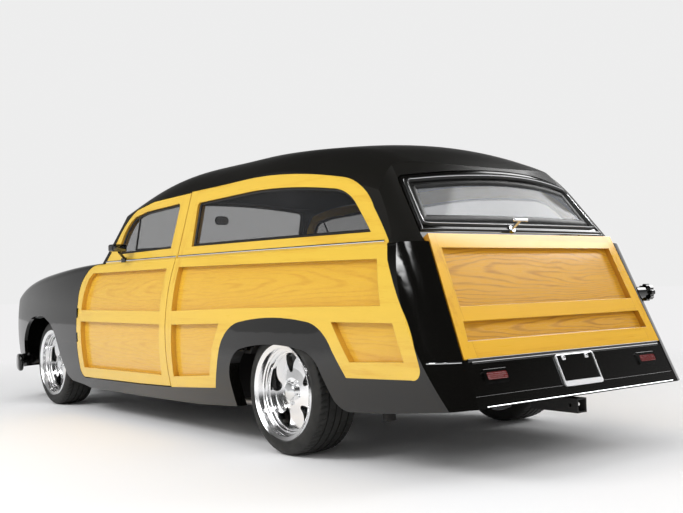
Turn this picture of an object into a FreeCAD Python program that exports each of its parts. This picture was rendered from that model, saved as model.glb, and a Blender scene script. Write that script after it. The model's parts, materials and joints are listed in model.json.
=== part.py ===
import FreeCAD, Part
import math
import os
from FreeCAD import Vector

# A two-door station wagon with a steel body and varnished wood sides, in millimetres.
# X points forward, Y to the left and Z up. The tables measure x from the rear axle, and the
# finished pieces are moved so that the origin is on the ground at the middle of the length.

# Driving sizes of the whole car.
WHEELBASE = 2896.0
REAR_OVERHANG = 1123.5
FRONT_OVERHANG = 849.0
OVERALL_LENGTH = REAR_OVERHANG + WHEELBASE + FRONT_OVERHANG
AXLE_HEIGHT = 300.0

# Body side: half widths at the sill, the widest line and the belt, with their heights.
SILL_HALF, SILL_Z = 855.0, 175.0
WAIST_HALF, WAIST_Z = 908.0, 600.0
BELT_HALF, BELT_Z = 830.0, 980.0
WALL = 60.0
STEEL_WALL = 25.0
GREENHOUSE_STEP = 8.0
GREENHOUSE_WALL = 45.0
PANEL_RECESS = 30.0
GLASS = 6.0
GLASS_INSET = 18.0

# Gaps: round every moving panel, and the slant of the door's rear edge in plan.
SHUT_GAP = 6.0
SHUT_SLANT = math.radians(14.0)
SHUT_X = 1060.0
DOOR_TOP_Y = 660.0

# Slopes of the tail below and above the belt, as x gained for each mm of height.
TAIL_SLOPE = 0.45
PAN_LOW_Z = 298.0
PAN_CREASE_Z, PAN_STEP = 346.0, 4.0
TAIL_FOOT_Z = 489.0
TAIL_FOOT_X = -REAR_OVERHANG + TAIL_SLOPE * (TAIL_FOOT_Z - PAN_LOW_Z)
TAIL_FOOT_HALF = 679.0
TAILGATE_TOP_Z = 1015.0
TAILGATE_THICK = 50.0
TAILGATE_BEVEL = 34.0
GATE_THICK = 30.0
GATE_REST = 12.0
GATE_SWING, GATE_SWING_Z = 6.0, 1225.0
HINGE_RADIUS = 3.0
HINGE_HALF = 660.0
HINGE_X, HINGE_Y = WHEELBASE - 598.0, 908.0
HINGE_HEIGHTS, HINGE_LENGTH = (500.0, 660.0), 60.0
KNUCKLE_RADIUS, PIN_RADIUS = 4.5, 2.5
SCREEN_SLOPE = 0.7
SCREEN_FOOT_X = 2183.0 - WHEELBASE
SCREEN_SWEEP = 110.0

# Wheels and tyres.
TYRE_RADIUS = 300.0
RIM_RADIUS = 216.0
FLANGE_RADIUS = 234.0
RIM_WALL = 11.0
FLANGE_WIDE = 8.0
HUB_BORE = 30.0
BORE_CLEARANCE = 0.05
WINDOWS = 5
FACE_DEPTH = 66.0
CAP_RADIUS, CAP_THICK = 44.0, 16.0
DRUM_RADIUS, DRUM_WIDE, DRUM_GAP = 140.0, 60.0, 60.0
KING_PIN_Y, KING_PIN_RADIUS = 605.0, 14.0
SPRING_Y = 520.0
# Columns: tyre width, rim width and distance from the middle of the car to the rim's outer lip.
REAR_WHEEL = (235.0, 242.0, 862.0)
FRONT_WHEEL = (205.0, 214.0, 848.0)
REAR_POCKET, FRONT_POCKET = 30.0, 90.0
ARCH_SKIN = 12.0

# Lamps, grille and the plates that the hood and the liftgate rest on.
PLATE_LOW, PLATE_GAP = 36.0, 0.9
LAMP_RADIUS, LAMP_Y, LAMP_Z = 92.0, 690.0, 690.0
GRILLE_BARS = 4
TAIL_LAMP_Y, TAIL_LAMP_Z = 525.0, 420.0
TAIL_LAMP_WIDE, TAIL_LAMP_HIGH = 156.0, 52.0
LENS_WIDE, LENS_HIGH, LENS_SEAT = 122.0, 30.0, 8.0
BEZEL_OUT = 9.0

# Small fittings.
PIPE_RADIUS = 25.0
HANDLE_Y, HANDLE_Z, HANDLE_REACH = 85.0, 1036.0, 74.0
GRIP_HALF = 42.0
CAP_X, CAP_Z = -850.0, 724.0
FILLER_RADIUS, FILLER_LOBES = 44.0, 8

# Floor and chassis.
TUNNEL_HALF, TUNNEL_TOP = 130.0, 400.0
FLOOR_Z = 212.0
FLOOR_THICK = 16.0
LOAD_FLOOR_Z = 470.0
STEP_X = 600.0
RAIL_HIGH, RAIL_WIDE = 60.0, 60.0
RAIL_Y = 420.0
HITCH_BACK, HITCH_Z, HITCH_HALF, HITCH_WALL = -1085.0, 245.0, 32.0, 6.6
LIFT = 0.3


def front(dx):
    """A place measured from the front axle."""
    return WHEELBASE + dx


# The nose: its foremost point, and half the width of the panel between the fenders.
NOSE_X = front(809.0)
NOSE_HALF = 560.0
HOOD_END = front(692.0)
GRILLE_LOW, GRILLE_HIGH = 430.0, 640.0

# Body stations. Columns: x, share of the full width, height of the shoulder, height of the
# crown on the centre line, drop and width of the rounded shoulder.
STATIONS = [
    (-1180.0, 0.895, 980.0, 984.0, 14.0, 14.0),
    (-700.0, 0.930, 980.0, 984.0, 14.0, 14.0),
    (-300.0, 0.958, 980.0, 984.0, 14.0, 14.0),
    (200.0, 0.985, 980.0, 984.0, 14.0, 14.0),
    (700.0, 1.0, 980.0, 984.0, 14.0, 14.0),
    (1700.0, 1.0, 980.0, 990.0, 16.0, 18.0),
    (front(-596.0), 1.0, 977.0, 1034.0, 40.0, 62.0),
    (front(4.0), 0.985, 939.0, 1026.0, 60.0, 90.0),
    (front(404.0), 0.955, 893.0, 990.0, 62.0, 92.0),
    (front(654.0), 0.925, 838.0, 932.0, 66.0, 96.0),
    (front(884.0), 0.870, 740.0, 840.0, 70.0, 100.0),
]

# Roof stations. Columns: x, half width and height of the drip rail, height of the crown.
ROOF_STATIONS = [
    (-830.0, 668.0, 1100.0, 1215.0),
    (-640.0, 684.0, 1190.0, 1345.0),
    (-450.0, 695.0, 1253.0, 1440.0),
    (-90.0, 712.0, 1343.0, 1522.0),
    (500.0, 720.0, 1372.0, 1560.0),
    (1100.0, 720.0, 1357.0, 1558.0),
    (front(-1396.0), 722.0, 1343.0, 1524.0),
    (front(-1096.0), 727.0, 1296.0, 1442.0),
    (front(-596.0), 745.0, 1200.0, 1270.0),
]
CROWN_SHARE, CROWN_DROP = 0.62, 0.19
CORNER_SHARE, CORNER_DROP = 0.86, 0.52


def circle_y(z):
    """Half width of the side at a height, on the arc through sill, waist and belt."""
    (y1, z1), (y2, z2), (y3, z3) = (SILL_HALF, SILL_Z), (WAIST_HALF, WAIST_Z), (BELT_HALF, BELT_Z)
    a, b = 2 * (y2 - y1), 2 * (z2 - z1)
    c, d = 2 * (y3 - y1), 2 * (z3 - z1)
    e = y2 ** 2 + z2 ** 2 - y1 ** 2 - z1 ** 2
    f = y3 ** 2 + z3 ** 2 - y1 ** 2 - z1 ** 2
    det = a * d - b * c
    cy, cz = (e * d - b * f) / det, (a * f - e * c) / det
    radius = math.hypot(y1 - cy, z1 - cz)
    return cy + math.sqrt(radius ** 2 - (z - cz) ** 2)


def width_share(x):
    """Share of the full width at a place along the body."""
    rows = STATIONS
    for (x0, k0, *_), (x1, k1, *_) in zip(rows, rows[1:]):
        if x <= x1:
            return k0 + (k1 - k0) * (x - x0) / (x1 - x0)
    return rows[-1][1]


def arc(a, b, c):
    return Part.Arc(a, b, c).toShape()


def line(a, b):
    return Part.LineSegment(a, b).toShape()


def outline(path, place):
    """Closed wire. A point is the end of a line, a pair of points the middle and end of an arc."""
    edges = []
    last = path[-1][1] if isinstance(path[-1][0], tuple) else path[-1]
    for item in path:
        if isinstance(item[0], tuple):
            edges.append(arc(place(*last), place(*item[0]), place(*item[1])))
            last = item[1]
        else:
            edges.append(line(place(*last), place(*item)))
            last = item
    return Part.Wire(edges)


def side_prism(path, y0, y1, grow=0.0):
    """Side-view outline, carried from y0 to y1, first grown or shrunk by a gap."""
    face = Part.Face(outline(path, lambda x, z: Vector(x, y0, z)))
    if grow:
        face = face.makeOffset2D(grow)
    return face.extrude(Vector(0, y1 - y0, 0))


def rear_prism(path, x0, x1, grow=0.0):
    face = Part.Face(outline(path, lambda y, z: Vector(x0, y, z)))
    if grow:
        face = face.makeOffset2D(grow)
    return face.extrude(Vector(x1 - x0, 0, 0))


def plan_prism(path, z0, z1, slope=0.0):
    face = Part.Face(outline(path, lambda x, y: Vector(x, y, z0)))
    return face.extrude(Vector(slope * (z1 - z0), 0, z1 - z0))


def block(x0, x1, y0, y1, z0, z1):
    return Part.makeBox(x1 - x0, y1 - y0, z1 - z0, Vector(x0, y0, z0))


def mirrored(shape):
    return shape.mirror(Vector(0, 0, 0), Vector(0, 1, 0))


def both(shape):
    return Part.makeCompound([shape, mirrored(shape)])


def rod(radius, a, b):
    a, b = Vector(*a), Vector(*b)
    return Part.makeCylinder(radius, (b - a).Length, a, b - a)


def fuse(first, *others):
    return first.fuse(list(others)).removeSplitter()


def biggest(shape):
    """The main solid of a cut, without slivers."""
    return max(shape.Solids, key=lambda s: s.Volume)


def body_section(row, inset, low, top):
    """Closed section of the lower body. With low and top set, it is an open-ended liner."""
    x, share, shoulder, crown, drop, width = row
    if top:
        shoulder, crown = top, top + 4.0
    y_low = circle_y(low) * share - inset
    y_mid = WAIST_HALF * share - inset
    y_side = circle_y(shoulder - drop) * share - inset
    y_top = y_side - width
    z_mid = shoulder - 0.29 * drop
    y_corner = y_side - 0.29 * width

    def at(y, z):
        return Vector(x, y, z)

    return Part.Wire([
        line(at(-y_low, low), at(y_low, low)),
        arc(at(y_low, low), at(y_mid, WAIST_Z), at(y_side, shoulder - drop)),
        arc(at(y_side, shoulder - drop), at(y_corner, z_mid), at(y_top, shoulder)),
        arc(at(y_top, shoulder), at(0, crown), at(-y_top, shoulder)),
        arc(at(-y_top, shoulder), at(-y_corner, z_mid), at(-y_side, shoulder - drop)),
        arc(at(-y_side, shoulder - drop), at(-y_mid, WAIST_Z), at(-y_low, low)),
    ])


def lower_body(inset, low=SILL_Z - 15.0, top=None, lid=0.0):
    rows = STATIONS
    if lid:
        rows = [(x, k, s - lid, c - lid, d, w) for x, k, s, c, d, w in rows]
    return Part.makeLoft([body_section(row, inset, low, top) for row in rows], True, False)


def roof_section(row, inset, low):
    x, rail_half, rail_z, crown = row
    belt = (BELT_HALF - GREENHOUSE_STEP) * width_share(x)
    slope = (belt - rail_half) / (rail_z - BELT_Z)
    y_low = belt + slope * (BELT_Z - low) - inset
    rail_half -= inset
    rise = crown - rail_z
    crown -= inset
    y1, z1 = rail_half * CORNER_SHARE, rail_z - inset * 0.8 + rise * (1 - CORNER_DROP)
    y2, z2 = rail_half * CROWN_SHARE, crown - rise * CROWN_DROP
    z_rail = rail_z - inset * 0.6

    def at(y, z):
        return Vector(x, y, z)

    return Part.Wire([
        line(at(-y_low, low), at(y_low, low)),
        line(at(y_low, low), at(rail_half, z_rail)),
        arc(at(rail_half, z_rail), at(y1, z1), at(y2, z2)),
        arc(at(y2, z2), at(0, crown), at(-y2, z2)),
        arc(at(-y2, z2), at(-y1, z1), at(-rail_half, z_rail)),
        line(at(-rail_half, z_rail), at(-y_low, low)),
    ])


def tail_envelope(z0, z1, rows, inset=0.0, narrow=0.0):
    """Everything ahead of the tail, between two heights.

    Each row is x, y and how much x changes for each mm of height: side, corner, edge, middle.
    """
    wires = []
    for z in (z0, z1):
        points = []
        for x, y, z_at, dx, dy in rows:
            points.append((x + dx * (z - z_at) + inset, max(y + dy * (z - z_at) - narrow, 0.0)))
        (xs, ys), (xc, yc), (xe, ye), (xm, _) = points
        wide = ys + FLARE
        path = [
            (AHEAD, -wide), (AHEAD, wide), (xs, ys), ((xc, yc), (xe, ye)), ((xm, 0.0), (xe, -ye)),
            ((xc, -yc), (xs, -ys)),
        ]
        wires.append(outline(path, lambda a, b, z=z: Vector(a, b, z)))
    return Part.makeLoft(wires, True, True)


# Far ahead of the car the envelope of the tail is wider than the body, so it only shapes the tail.
AHEAD, FLARE = front(1500.0), 320.0

# Columns: x, y, height at which they hold, change of x and of y for each mm of height.
LOWER_TAIL = [
    (-860.0, 880.0, TAIL_FOOT_Z, TAIL_SLOPE, -0.02),
    (-952.0, 815.0, TAIL_FOOT_Z, TAIL_SLOPE, -0.05),
    (TAIL_FOOT_X, TAIL_FOOT_HALF, TAIL_FOOT_Z, TAIL_SLOPE, -0.082),
    (TAIL_FOOT_X - 0.5, 0.0, TAIL_FOOT_Z, TAIL_SLOPE, 0.0),
]
UPPER_TAIL = [
    (-612.0, 800.0, 1022.0, 0.80, -0.10),
    (-706.0, 730.0, 1022.0, 0.80, -0.16),
    (-759.0, 634.0, 1022.0, 0.81, -0.223),
    (-785.0, 0.0, 1022.0, 0.443, 0.0),
]


def lower_tail(inset=0.0, narrow=0.0):
    return tail_envelope(100.0, 1100.0, LOWER_TAIL, inset, narrow)


def upper_tail(inset=0.0, narrow=0.0):
    return tail_envelope(900.0, 1700.0, UPPER_TAIL, inset, narrow)


def nose_envelope(inset=0.0):
    """Everything behind the rounded front, seen from above."""
    side, wide = 960.0, NOSE_HALF
    path = [
        (-1400.0, side), (-1400.0, -side), (front(650.0), -side),
        ((front(757.0) - inset, -765.0 + inset), (NOSE_X - 15.0 - inset, -wide)),
        ((NOSE_X - inset, 0.0), (NOSE_X - 15.0 - inset, wide)),
        ((front(757.0) - inset, 765.0 - inset), (front(650.0), side)),
    ]
    return plan_prism(path, 60.0, 1200.0)


def behind_screen(shift=0.0):
    """Everything behind the swept and raked windscreen."""
    z0, z1 = 900.0, 1600.0
    rake = -SCREEN_SLOPE
    base = front(SCREEN_FOOT_X) - rake * (BELT_Z - z0) - shift
    half = 900.0
    sweep = SCREEN_SWEEP * (half / 800.0) ** 2
    path = [(-1500.0, -half), (base - sweep, -half), ((base, 0.0), (base - sweep, half)), (-1500.0, half)]
    return plan_prism(path, z0, z1, rake)


# The masters: the skin of the car, and liners that leave its walls.
SKIN = lower_body(0.0).common(nose_envelope())
LINER = lower_body(WALL, 60.0, 1120.0)
THIN_LINER = lower_body(STEEL_WALL, 60.0, None, STEEL_WALL).common(nose_envelope(STEEL_WALL))
GREENHOUSE = Part.makeLoft([roof_section(r, 0.0, BELT_Z - 12.0) for r in ROOF_STATIONS], True, False)
HOUSE_LINER = Part.makeLoft([roof_section(r, GREENHOUSE_WALL, BELT_Z - 80.0) for r in ROOF_STATIONS],
                            True, False)

LEFT = block(-1400.0, front(1000.0), 300.0, 1000.0, 0.0, 1700.0)
LOW_SIDE = SKIN.common(lower_tail()).cut(LINER.common(lower_tail(WALL, WALL))).common(LEFT)
HOUSE = GREENHOUSE.common(upper_tail()).common(behind_screen())
HOUSE_WALL = HOUSE.cut(
    HOUSE_LINER.common(upper_tail(GREENHOUSE_WALL, GREENHOUSE_WALL)).common(behind_screen(GREENHOUSE_WALL)))
HOUSE_SIDE = HOUSE.cut(HOUSE_LINER).common(LEFT)
DOOR_ROOM = Part.makeLoft(
    [roof_section(r, GREENHOUSE_WALL + SHUT_GAP, BELT_Z - 80.0) for r in ROOF_STATIONS], True, False)


def slant_front(x0):
    """Everything ahead of the slanted shut face, which follows the side at each height."""
    wires = []
    rows = [(100.0, 845.0), (SILL_Z, SILL_HALF), (380.0, circle_y(380.0)), (WAIST_Z, WAIST_HALF),
            (800.0, circle_y(800.0)), (BELT_Z, BELT_HALF), (1450.0, 690.0)]
    for z, y in rows:
        deep = 300.0
        lean = math.tan(SHUT_SLANT)
        far = x0 + 1700.0
        points = [
            Vector(x0 - 100.0 * lean, y + 100.0, z), Vector(far, y + 100.0, z),
            Vector(far, y - deep, z), Vector(x0 + deep * lean, y - deep, z),
        ]
        wires.append(Part.makePolygon(points + points[:1]))
    return Part.makeLoft(wires, True, True)


DOOR_BAY = slant_front(SHUT_X - SHUT_GAP / 2)
DOOR_END = slant_front(SHUT_X + SHUT_GAP / 2)


def along(a, b, x):
    """The point at x on the line through two points."""
    return (x, a[1] + (b[1] - a[1]) * (x - a[0]) / (b[0] - a[0]))


# The foot of the wood, shared by the door, the quarter and the sill below them.
FOOT_FRONT, FOOT_MIDDLE = (front(-634.0), 232.0), (front(-1450.0), 243.0)
FOOT_SHUT, FOOT_REAR = (SHUT_X, 254.0), (570.0, 284.0)

# The edges that the quarter's wood shares with the steel over the rear wheel and at the tail.
ARCH_EDGE = [
    (497.0, 475.0), ((428.0, 574.0), (300.0, 632.0)), ((60.0, 655.0), (-213.0, 641.0)),
    ((-330.0, 600.0), (-405.0, 515.0)), (-488.0, 398.0),
]
REAR_EDGE = [
    (-880.0, 410.0), ((-922.0, 424.0), (-932.0, 462.0)), ((-884.0, 602.0), (-808.0, 742.0)),
    (-717.0, 903.0), (-691.0, 988.0),
]

# Side-view outlines, x and z. The rear of the door outline runs past the shut line.
DOOR_OUTLINE = [
    along(FOOT_MIDDLE, FOOT_SHUT, 980.0), FOOT_MIDDLE, FOOT_FRONT,
    ((front(-595.0), 255.0), (front(-582.0), 306.0)), (front(-585.0), 740.0),
    ((front(-640.0), 925.0), (front(-794.0), 980.0)), (front(-872.0), 980.0), (front(-951.0), 1105.0),
    ((front(-1026.0), 1225.0), (front(-1156.0), 1310.0)), (front(-1376.0), 1345.0), (980.0, 1361.0),
]
DOOR_WINDOW = [
    (1165.0, 1038.0), (front(-1052.0), 1030.0), ((front(-1028.0), 1060.0), (front(-1030.0), 1105.0)),
    ((front(-1070.0), 1205.0), (front(-1160.0), 1262.0)), (front(-1300.0), 1284.0), (1205.0, 1300.0),
    ((1176.0, 1296.0), (1166.0, 1270.0)),
]
DOOR_PANELS = [
    [(1135.0, 680.0), (front(-660.0), 680.0), ((front(-672.0), 800.0), (front(-702.0), 882.0)),
     (front(-742.0), 918.0), (1135.0, 921.0)],
    [(1148.0, 318.0), (front(-660.0), 303.0), (front(-660.0), 605.0), (1130.0, 605.0)],
]
# The wood above the belt behind the door, and the wood below it round the rear wheel.
QUARTER_OUTLINE = [
    along(FOOT_SHUT, FOOT_MIDDLE, 1140.0), FOOT_SHUT, FOOT_REAR, *ARCH_EDGE, *REAR_EDGE,
    (-548.0, 1143.0), ((-456.0, 1238.0), (-310.0, 1303.0)), ((70.0, 1356.0), (526.0, 1369.0)),
    (1140.0, 1357.0),
]
QUARTER_WINDOW = [
    (925.0, 1037.0), (956.0, 1262.0), ((950.0, 1280.0), (930.0, 1286.0)), (423.0, 1300.0),
    ((80.0, 1290.0), (-244.0, 1256.0)), ((-345.0, 1230.0), (-418.0, 1182.0)), (-566.0, 1032.0),
]
QUARTER_PANELS = [
    [(993.0, 682.0), (995.0, 925.0), (-651.0, 911.0), (-707.0, 712.0), (-300.0, 708.0), (300.0, 700.0)],
    [(1003.0, 318.0), (986.0, 606.0), (492.0, 620.0), (560.0, 490.0), (611.0, 347.0)],
    [(-400.0, 640.0), (-784.0, 640.0), (-845.0, 482.0), (-518.0, 468.0)],
]
SIDE_STEEL_OUTLINE = [
    along(FOOT_FRONT, FOOT_MIDDLE, front(-695.0)), FOOT_MIDDLE, FOOT_SHUT, FOOT_REAR, *ARCH_EDGE, *REAR_EDGE,
    (-1300.0, 990.0), (-1300.0, 300.0), (-1110.0, 298.0),
    (-719.0, 259.0), (-497.0, 247.0), ((-428.0, 258.0), (-381.0, 295.0)), (-304.0, 436.0),
    ((-262.0, 480.0), (-180.0, 511.0)), ((55.0, 527.0), (286.0, 501.0)), ((385.0, 440.0), (417.0, 330.0)),
    (402.0, 200.0), (780.0, 180.0), (front(-1524.0), 171.0), (front(-695.0), 166.0),
]
FENDER_OUTLINE = [
    (front(-695.0), 166.0), (front(-582.0), 183.0), (front(-394.0), 199.0), (front(-334.0), 231.0),
    (front(-250.0), 403.0), ((front(-165.0), 535.0), (front(-30.0), 605.0)),
    ((front(50.0), 627.0), (front(173.0), 624.0)), ((front(400.0), 580.0), (front(545.0), 440.0)),
    (front(575.0), 338.0), (front(900.0), 322.0), (front(900.0), 1200.0), (front(-854.0), 1200.0),
    (front(-854.0), 982.0), (front(-700.0), 900.0), (front(-695.0), 500.0),
]
HOOD_OUTLINE = [
    (front(-651.0), -600.0), (front(400.0), -NOSE_HALF), ((front(590.0), -430.0), (front(670.0), -220.0)),
    ((HOOD_END, 0.0), (front(670.0), 220.0)), ((front(590.0), 430.0), (front(400.0), NOSE_HALF)),
    (front(-651.0), 600.0),
]
# Rear-view outlines, y and z.
TAILGATE_OUTLINE = [
    (TAIL_FOOT_HALF, TAIL_FOOT_Z), (636.0, TAILGATE_TOP_Z), (-636.0, TAILGATE_TOP_Z),
    (-TAIL_FOOT_HALF, TAIL_FOOT_Z),
]
TAILGATE_PANELS = [
    [(598.0, 702.0), (584.0, 952.0), (-584.0, 952.0), (-598.0, 702.0)],
    [(622.0, 560.0), (610.0, 640.0), (-610.0, 640.0), (-622.0, 560.0)],
]
LIFTGATE_OUTLINE = [
    (634.0, 1024.0), (576.0, 1262.0), ((562.0, 1284.0), (535.0, 1290.0)), ((0.0, 1324.0), (-535.0, 1290.0)),
    ((-562.0, 1284.0), (-576.0, 1262.0)), (-634.0, 1024.0),
]
LIFTGATE_WINDOW = [
    (586.0, 1068.0), (548.0, 1238.0), ((538.0, 1255.0), (515.0, 1260.0)), ((0.0, 1290.0), (-515.0, 1260.0)),
    ((-538.0, 1255.0), (-548.0, 1238.0)), (-586.0, 1068.0),
]
SCREEN_OPENING = [
    ((0.0, 1062.0), (735.0, 1030.0)), (650.0, 1312.0), ((625.0, 1338.0), (590.0, 1348.0)),
    ((0.0, 1385.0), (-590.0, 1348.0)), ((-625.0, 1338.0), (-650.0, 1312.0)), (-735.0, 1030.0),
]


def wood_side(path, windows, panels, trim, grow):
    """Frame of one wood side, cut out for its panels and window."""
    low, high = LOW_SIDE, HOUSE_SIDE
    for hole in panels:
        low = low.cut(side_prism(hole, 300.0, 1000.0))
    for hole in windows:
        high = high.cut(side_prism(hole, 300.0, 1000.0))
    low = low.common(side_prism(path, 300.0, 1000.0, grow))
    high = high.common(side_prism(path, 300.0, 1000.0, grow))
    return biggest(trim(biggest(low.fuse(high))))


def inset_panels(panels):
    """Panels that sit back from the face of their frame and fill its openings."""
    sheet = LOW_SIDE.common(lower_body(PANEL_RECESS, 60.0, 1120.0))
    return [biggest(sheet.common(side_prism(p, 300.0, 1000.0))) for p in panels]


def tunnel(grow):
    """The space under the floor for the gearbox and the shaft, seen as a solid."""
    return block(STEP_X - 200.0, front(-600.0), -TUNNEL_HALF - grow, TUNNEL_HALF + grow, 100.0,
                 TUNNEL_TOP + grow)


def side_glass(path):
    outer = HOUSE_GLASS_OUT.common(side_prism(path, 300.0, 1000.0))
    return biggest(outer.cut(HOUSE_GLASS_IN))


HOUSE_GLASS_OUT = Part.makeLoft([roof_section(r, GLASS_INSET, BELT_Z - 40.0) for r in ROOF_STATIONS],
                                True, False).common(LEFT)
HOUSE_GLASS_IN = Part.makeLoft([roof_section(r, GLASS_INSET + GLASS, BELT_Z - 80.0) for r in ROOF_STATIONS],
                               True, False)


def door_hinges():
    """Notches in the door's front edge, and the knuckles on the door and on the pillar."""
    x, y = HINGE_X, HINGE_Y
    notches, moving, fixed = [], [], []
    for z in HINGE_HEIGHTS:
        low, high = z - HINGE_LENGTH / 2, z + HINGE_LENGTH / 2
        lug = HINGE_LENGTH / 6
        notches.append(block(x - 9.0, x + 30.0, y - 80.0, y + 30.0, low, high))
        moving += [rod(KNUCKLE_RADIUS, (x, y, low), (x, y, z - lug - LIFT)),
                   rod(KNUCKLE_RADIUS, (x, y, z + lug + LIFT), (x, y, high)),
                   rod(PIN_RADIUS, (x, y, low), (x, y, high))]
        plate = fuse(block(x - 4.0, x + 4.0, y - WALL - 12.0, y, z - lug, z + lug),
                     rod(KNUCKLE_RADIUS, (x, y, z - lug), (x, y, z + lug)))
        fixed.append(plate.cut(rod(PIN_RADIUS + BORE_CLEARANCE, (x, y, low), (x, y, high))))
    return Part.makeCompound(notches), moving, fixed


def doors():
    notches, knuckles, _ = door_hinges()
    lip = block(900.0, front(-700.0), 300.0, DOOR_TOP_Y, 900.0, 1500.0)
    frame = wood_side(DOOR_OUTLINE, [DOOR_WINDOW], DOOR_PANELS,
                      lambda s: s.common(DOOR_END).cut(lip), -SHUT_GAP)
    frame = fuse(biggest(frame.cut(notches)), *knuckles)
    panels = Part.makeCompound(inset_panels(DOOR_PANELS))
    glass = side_glass(DOOR_WINDOW)
    arm = rod(9.0, (front(-1144.0), 818.0, 1000.0), (front(-1200.0), 880.0, 1040.0))
    head = block(front(-1260.0), front(-1190.0), 853.0, 950.0, 1040.0, 1085.0)
    foot = block(front(-1170.0), front(-1118.0), 800.0, 828.0, 970.0, 1004.0)
    mirror = fuse(head.makeFillet(12.0, head.Edges), arm, foot)
    mirror = mirror.cut(frame)
    return {"door_left_frame": frame, "door_left_panels": panels, "door_left_glass": glass,
            "door_left_mirror": biggest(mirror)}


def quarter():
    frame = wood_side(QUARTER_OUTLINE, [QUARTER_WINDOW], QUARTER_PANELS, lambda s: s.cut(DOOR_BAY), 0.0)
    return {"quarter_frames": both(frame),
            "quarter_panels": Part.makeCompound(
                [s for p in inset_panels(QUARTER_PANELS) for s in (p, mirrored(p))]),
            "quarter_glass": both(side_glass(QUARTER_WINDOW))}


def wheel_pocket(x, room):
    """Where the wall round an axle is thinned to a skin, to leave room for the tyre."""
    drum = rod(TYRE_RADIUS + room, (x, 300.0, AXLE_HEIGHT), (x, 1000.0, AXLE_HEIGHT))
    return drum.common(lower_body(ARCH_SKIN, 100.0))


def side_steel():
    piece = LOW_SIDE.common(side_prism(SIDE_STEEL_OUTLINE, 300.0, 1000.0))
    piece = piece.cut(wheel_pocket(0.0, REAR_POCKET))
    rear = rear_prism(TAILGATE_OUTLINE, -1400.0, -300.0, SHUT_GAP)
    piece = piece.cut(rear).cut(block(-1400.0, -900.0, 300.0, TAIL_FOOT_HALF + SHUT_GAP, 200.0, 490.0))
    return {"side_steel": both(biggest(piece))}


def roof():
    shell = HOUSE_WALL.cut(SKIN)
    for path, y0, liner in (
            (DOOR_OUTLINE, DOOR_TOP_Y - SHUT_GAP, DOOR_ROOM), (QUARTER_OUTLINE, 300.0, HOUSE_LINER)):
        prism = side_prism(path, y0, 1000.0).cut(liner)
        shell = shell.cut(prism).cut(mirrored(prism))
    gate_room = rear_prism(LIFTGATE_OUTLINE, -1400.0, -300.0, SHUT_GAP)
    shell = shell.cut(gate_room.cut(upper_tail(GATE_THICK + PLATE_GAP)))
    swing_room = gate_room.common(block(-1400.0, -300.0, -800.0, 800.0, GATE_SWING_Z, 1400.0))
    shell = shell.cut(swing_room.cut(upper_tail(GATE_THICK + GATE_SWING)))
    shell = shell.cut(rear_prism(LIFTGATE_OUTLINE, -1400.0, -300.0, -GATE_REST))
    shell = shell.cut(rear_prism(TAILGATE_OUTLINE, -1400.0, -300.0, SHUT_GAP))
    foot = LIFTGATE_OUTLINE[0][0]
    shell = shell.cut(block(-1400.0, -600.0, -foot, foot, 900.0, LIFTGATE_OUTLINE[0][1] + SHUT_GAP))
    shell = shell.cut(rear_prism(SCREEN_OPENING, 1600.0, 2400.0))
    glass = GREENHOUSE.common(behind_screen(GLASS_INSET)).cut(behind_screen(GLASS_INSET + GLASS))
    glass = glass.common(rear_prism(SCREEN_OPENING, 1600.0, 2400.0))
    return {"roof": biggest(shell), "windscreen": biggest(glass)}


def rounded(y, z, wide, high, radius):
    """Rectangle with round corners about a middle, as an outline."""
    y0, y1, z0, z1 = y - wide / 2, y + wide / 2, z - high / 2, z + high / 2
    near = radius * (1 - math.sqrt(0.5))
    return [
        (y1 - radius, z0), ((y1 - near, z0 + near), (y1, z0 + radius)),
        (y1, z1 - radius), ((y1 - near, z1 - near), (y1 - radius, z1)),
        (y0 + radius, z1), ((y0 + near, z1 - near), (y0, z1 - radius)),
        (y0, z0 + radius), ((y0 + near, z0 + near), (y0 + radius, z0)),
    ]


def tailgate():
    """Wood frame and panels. The top edge slopes so that it swings out under the liftgate."""
    top, foot = TAILGATE_TOP_Z, (TAIL_FOOT_X, TAIL_FOOT_Z)
    x_top = TAIL_FOOT_X + TAIL_SLOPE * (top - TAIL_FOOT_Z)
    deep = TAILGATE_THICK / math.cos(math.atan(TAIL_SLOPE))
    back = [(x_top + deep, top - TAILGATE_BEVEL), (TAIL_FOOT_X + deep, TAIL_FOOT_Z)]
    gate = side_prism([foot, (x_top, top)] + back, -700.0, 700.0)
    gate = gate.common(rear_prism(TAILGATE_OUTLINE, -1400.0, -300.0))
    sheet = side_prism([(foot[0] + PANEL_RECESS, foot[1]), (x_top + PANEL_RECESS, top)] + back, -700.0, 700.0)
    panels = []
    for path in TAILGATE_PANELS:
        hole = rear_prism(path, -1400.0, -300.0)
        panels.append(sheet.common(hole))
        gate = gate.cut(hole)
    room = HINGE_HALF + 20.0
    gate = gate.cut(rod(HINGE_RADIUS + LIFT, (foot[0], -room, foot[1]), (foot[0], room, foot[1])))
    return {"tailgate_frame": biggest(gate), "tailgate_panels": Part.makeCompound(panels)}


def liftgate():
    shell = HOUSE.common(block(-1400.0, -300.0, -800.0, 800.0, 1000.0, 1500.0))
    lift = shell.cut(upper_tail(GATE_THICK)).common(rear_prism(LIFTGATE_OUTLINE, -1400.0, -300.0))
    lift = lift.cut(rear_prism(LIFTGATE_WINDOW, -1400.0, -300.0))
    glass = shell.common(upper_tail(GATE_REST)).cut(upper_tail(GATE_REST + GLASS))
    glass = glass.common(rear_prism(LIFTGATE_WINDOW, -1400.0, -300.0))
    return {"liftgate_frame": biggest(lift), "liftgate_glass": biggest(glass)}


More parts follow.
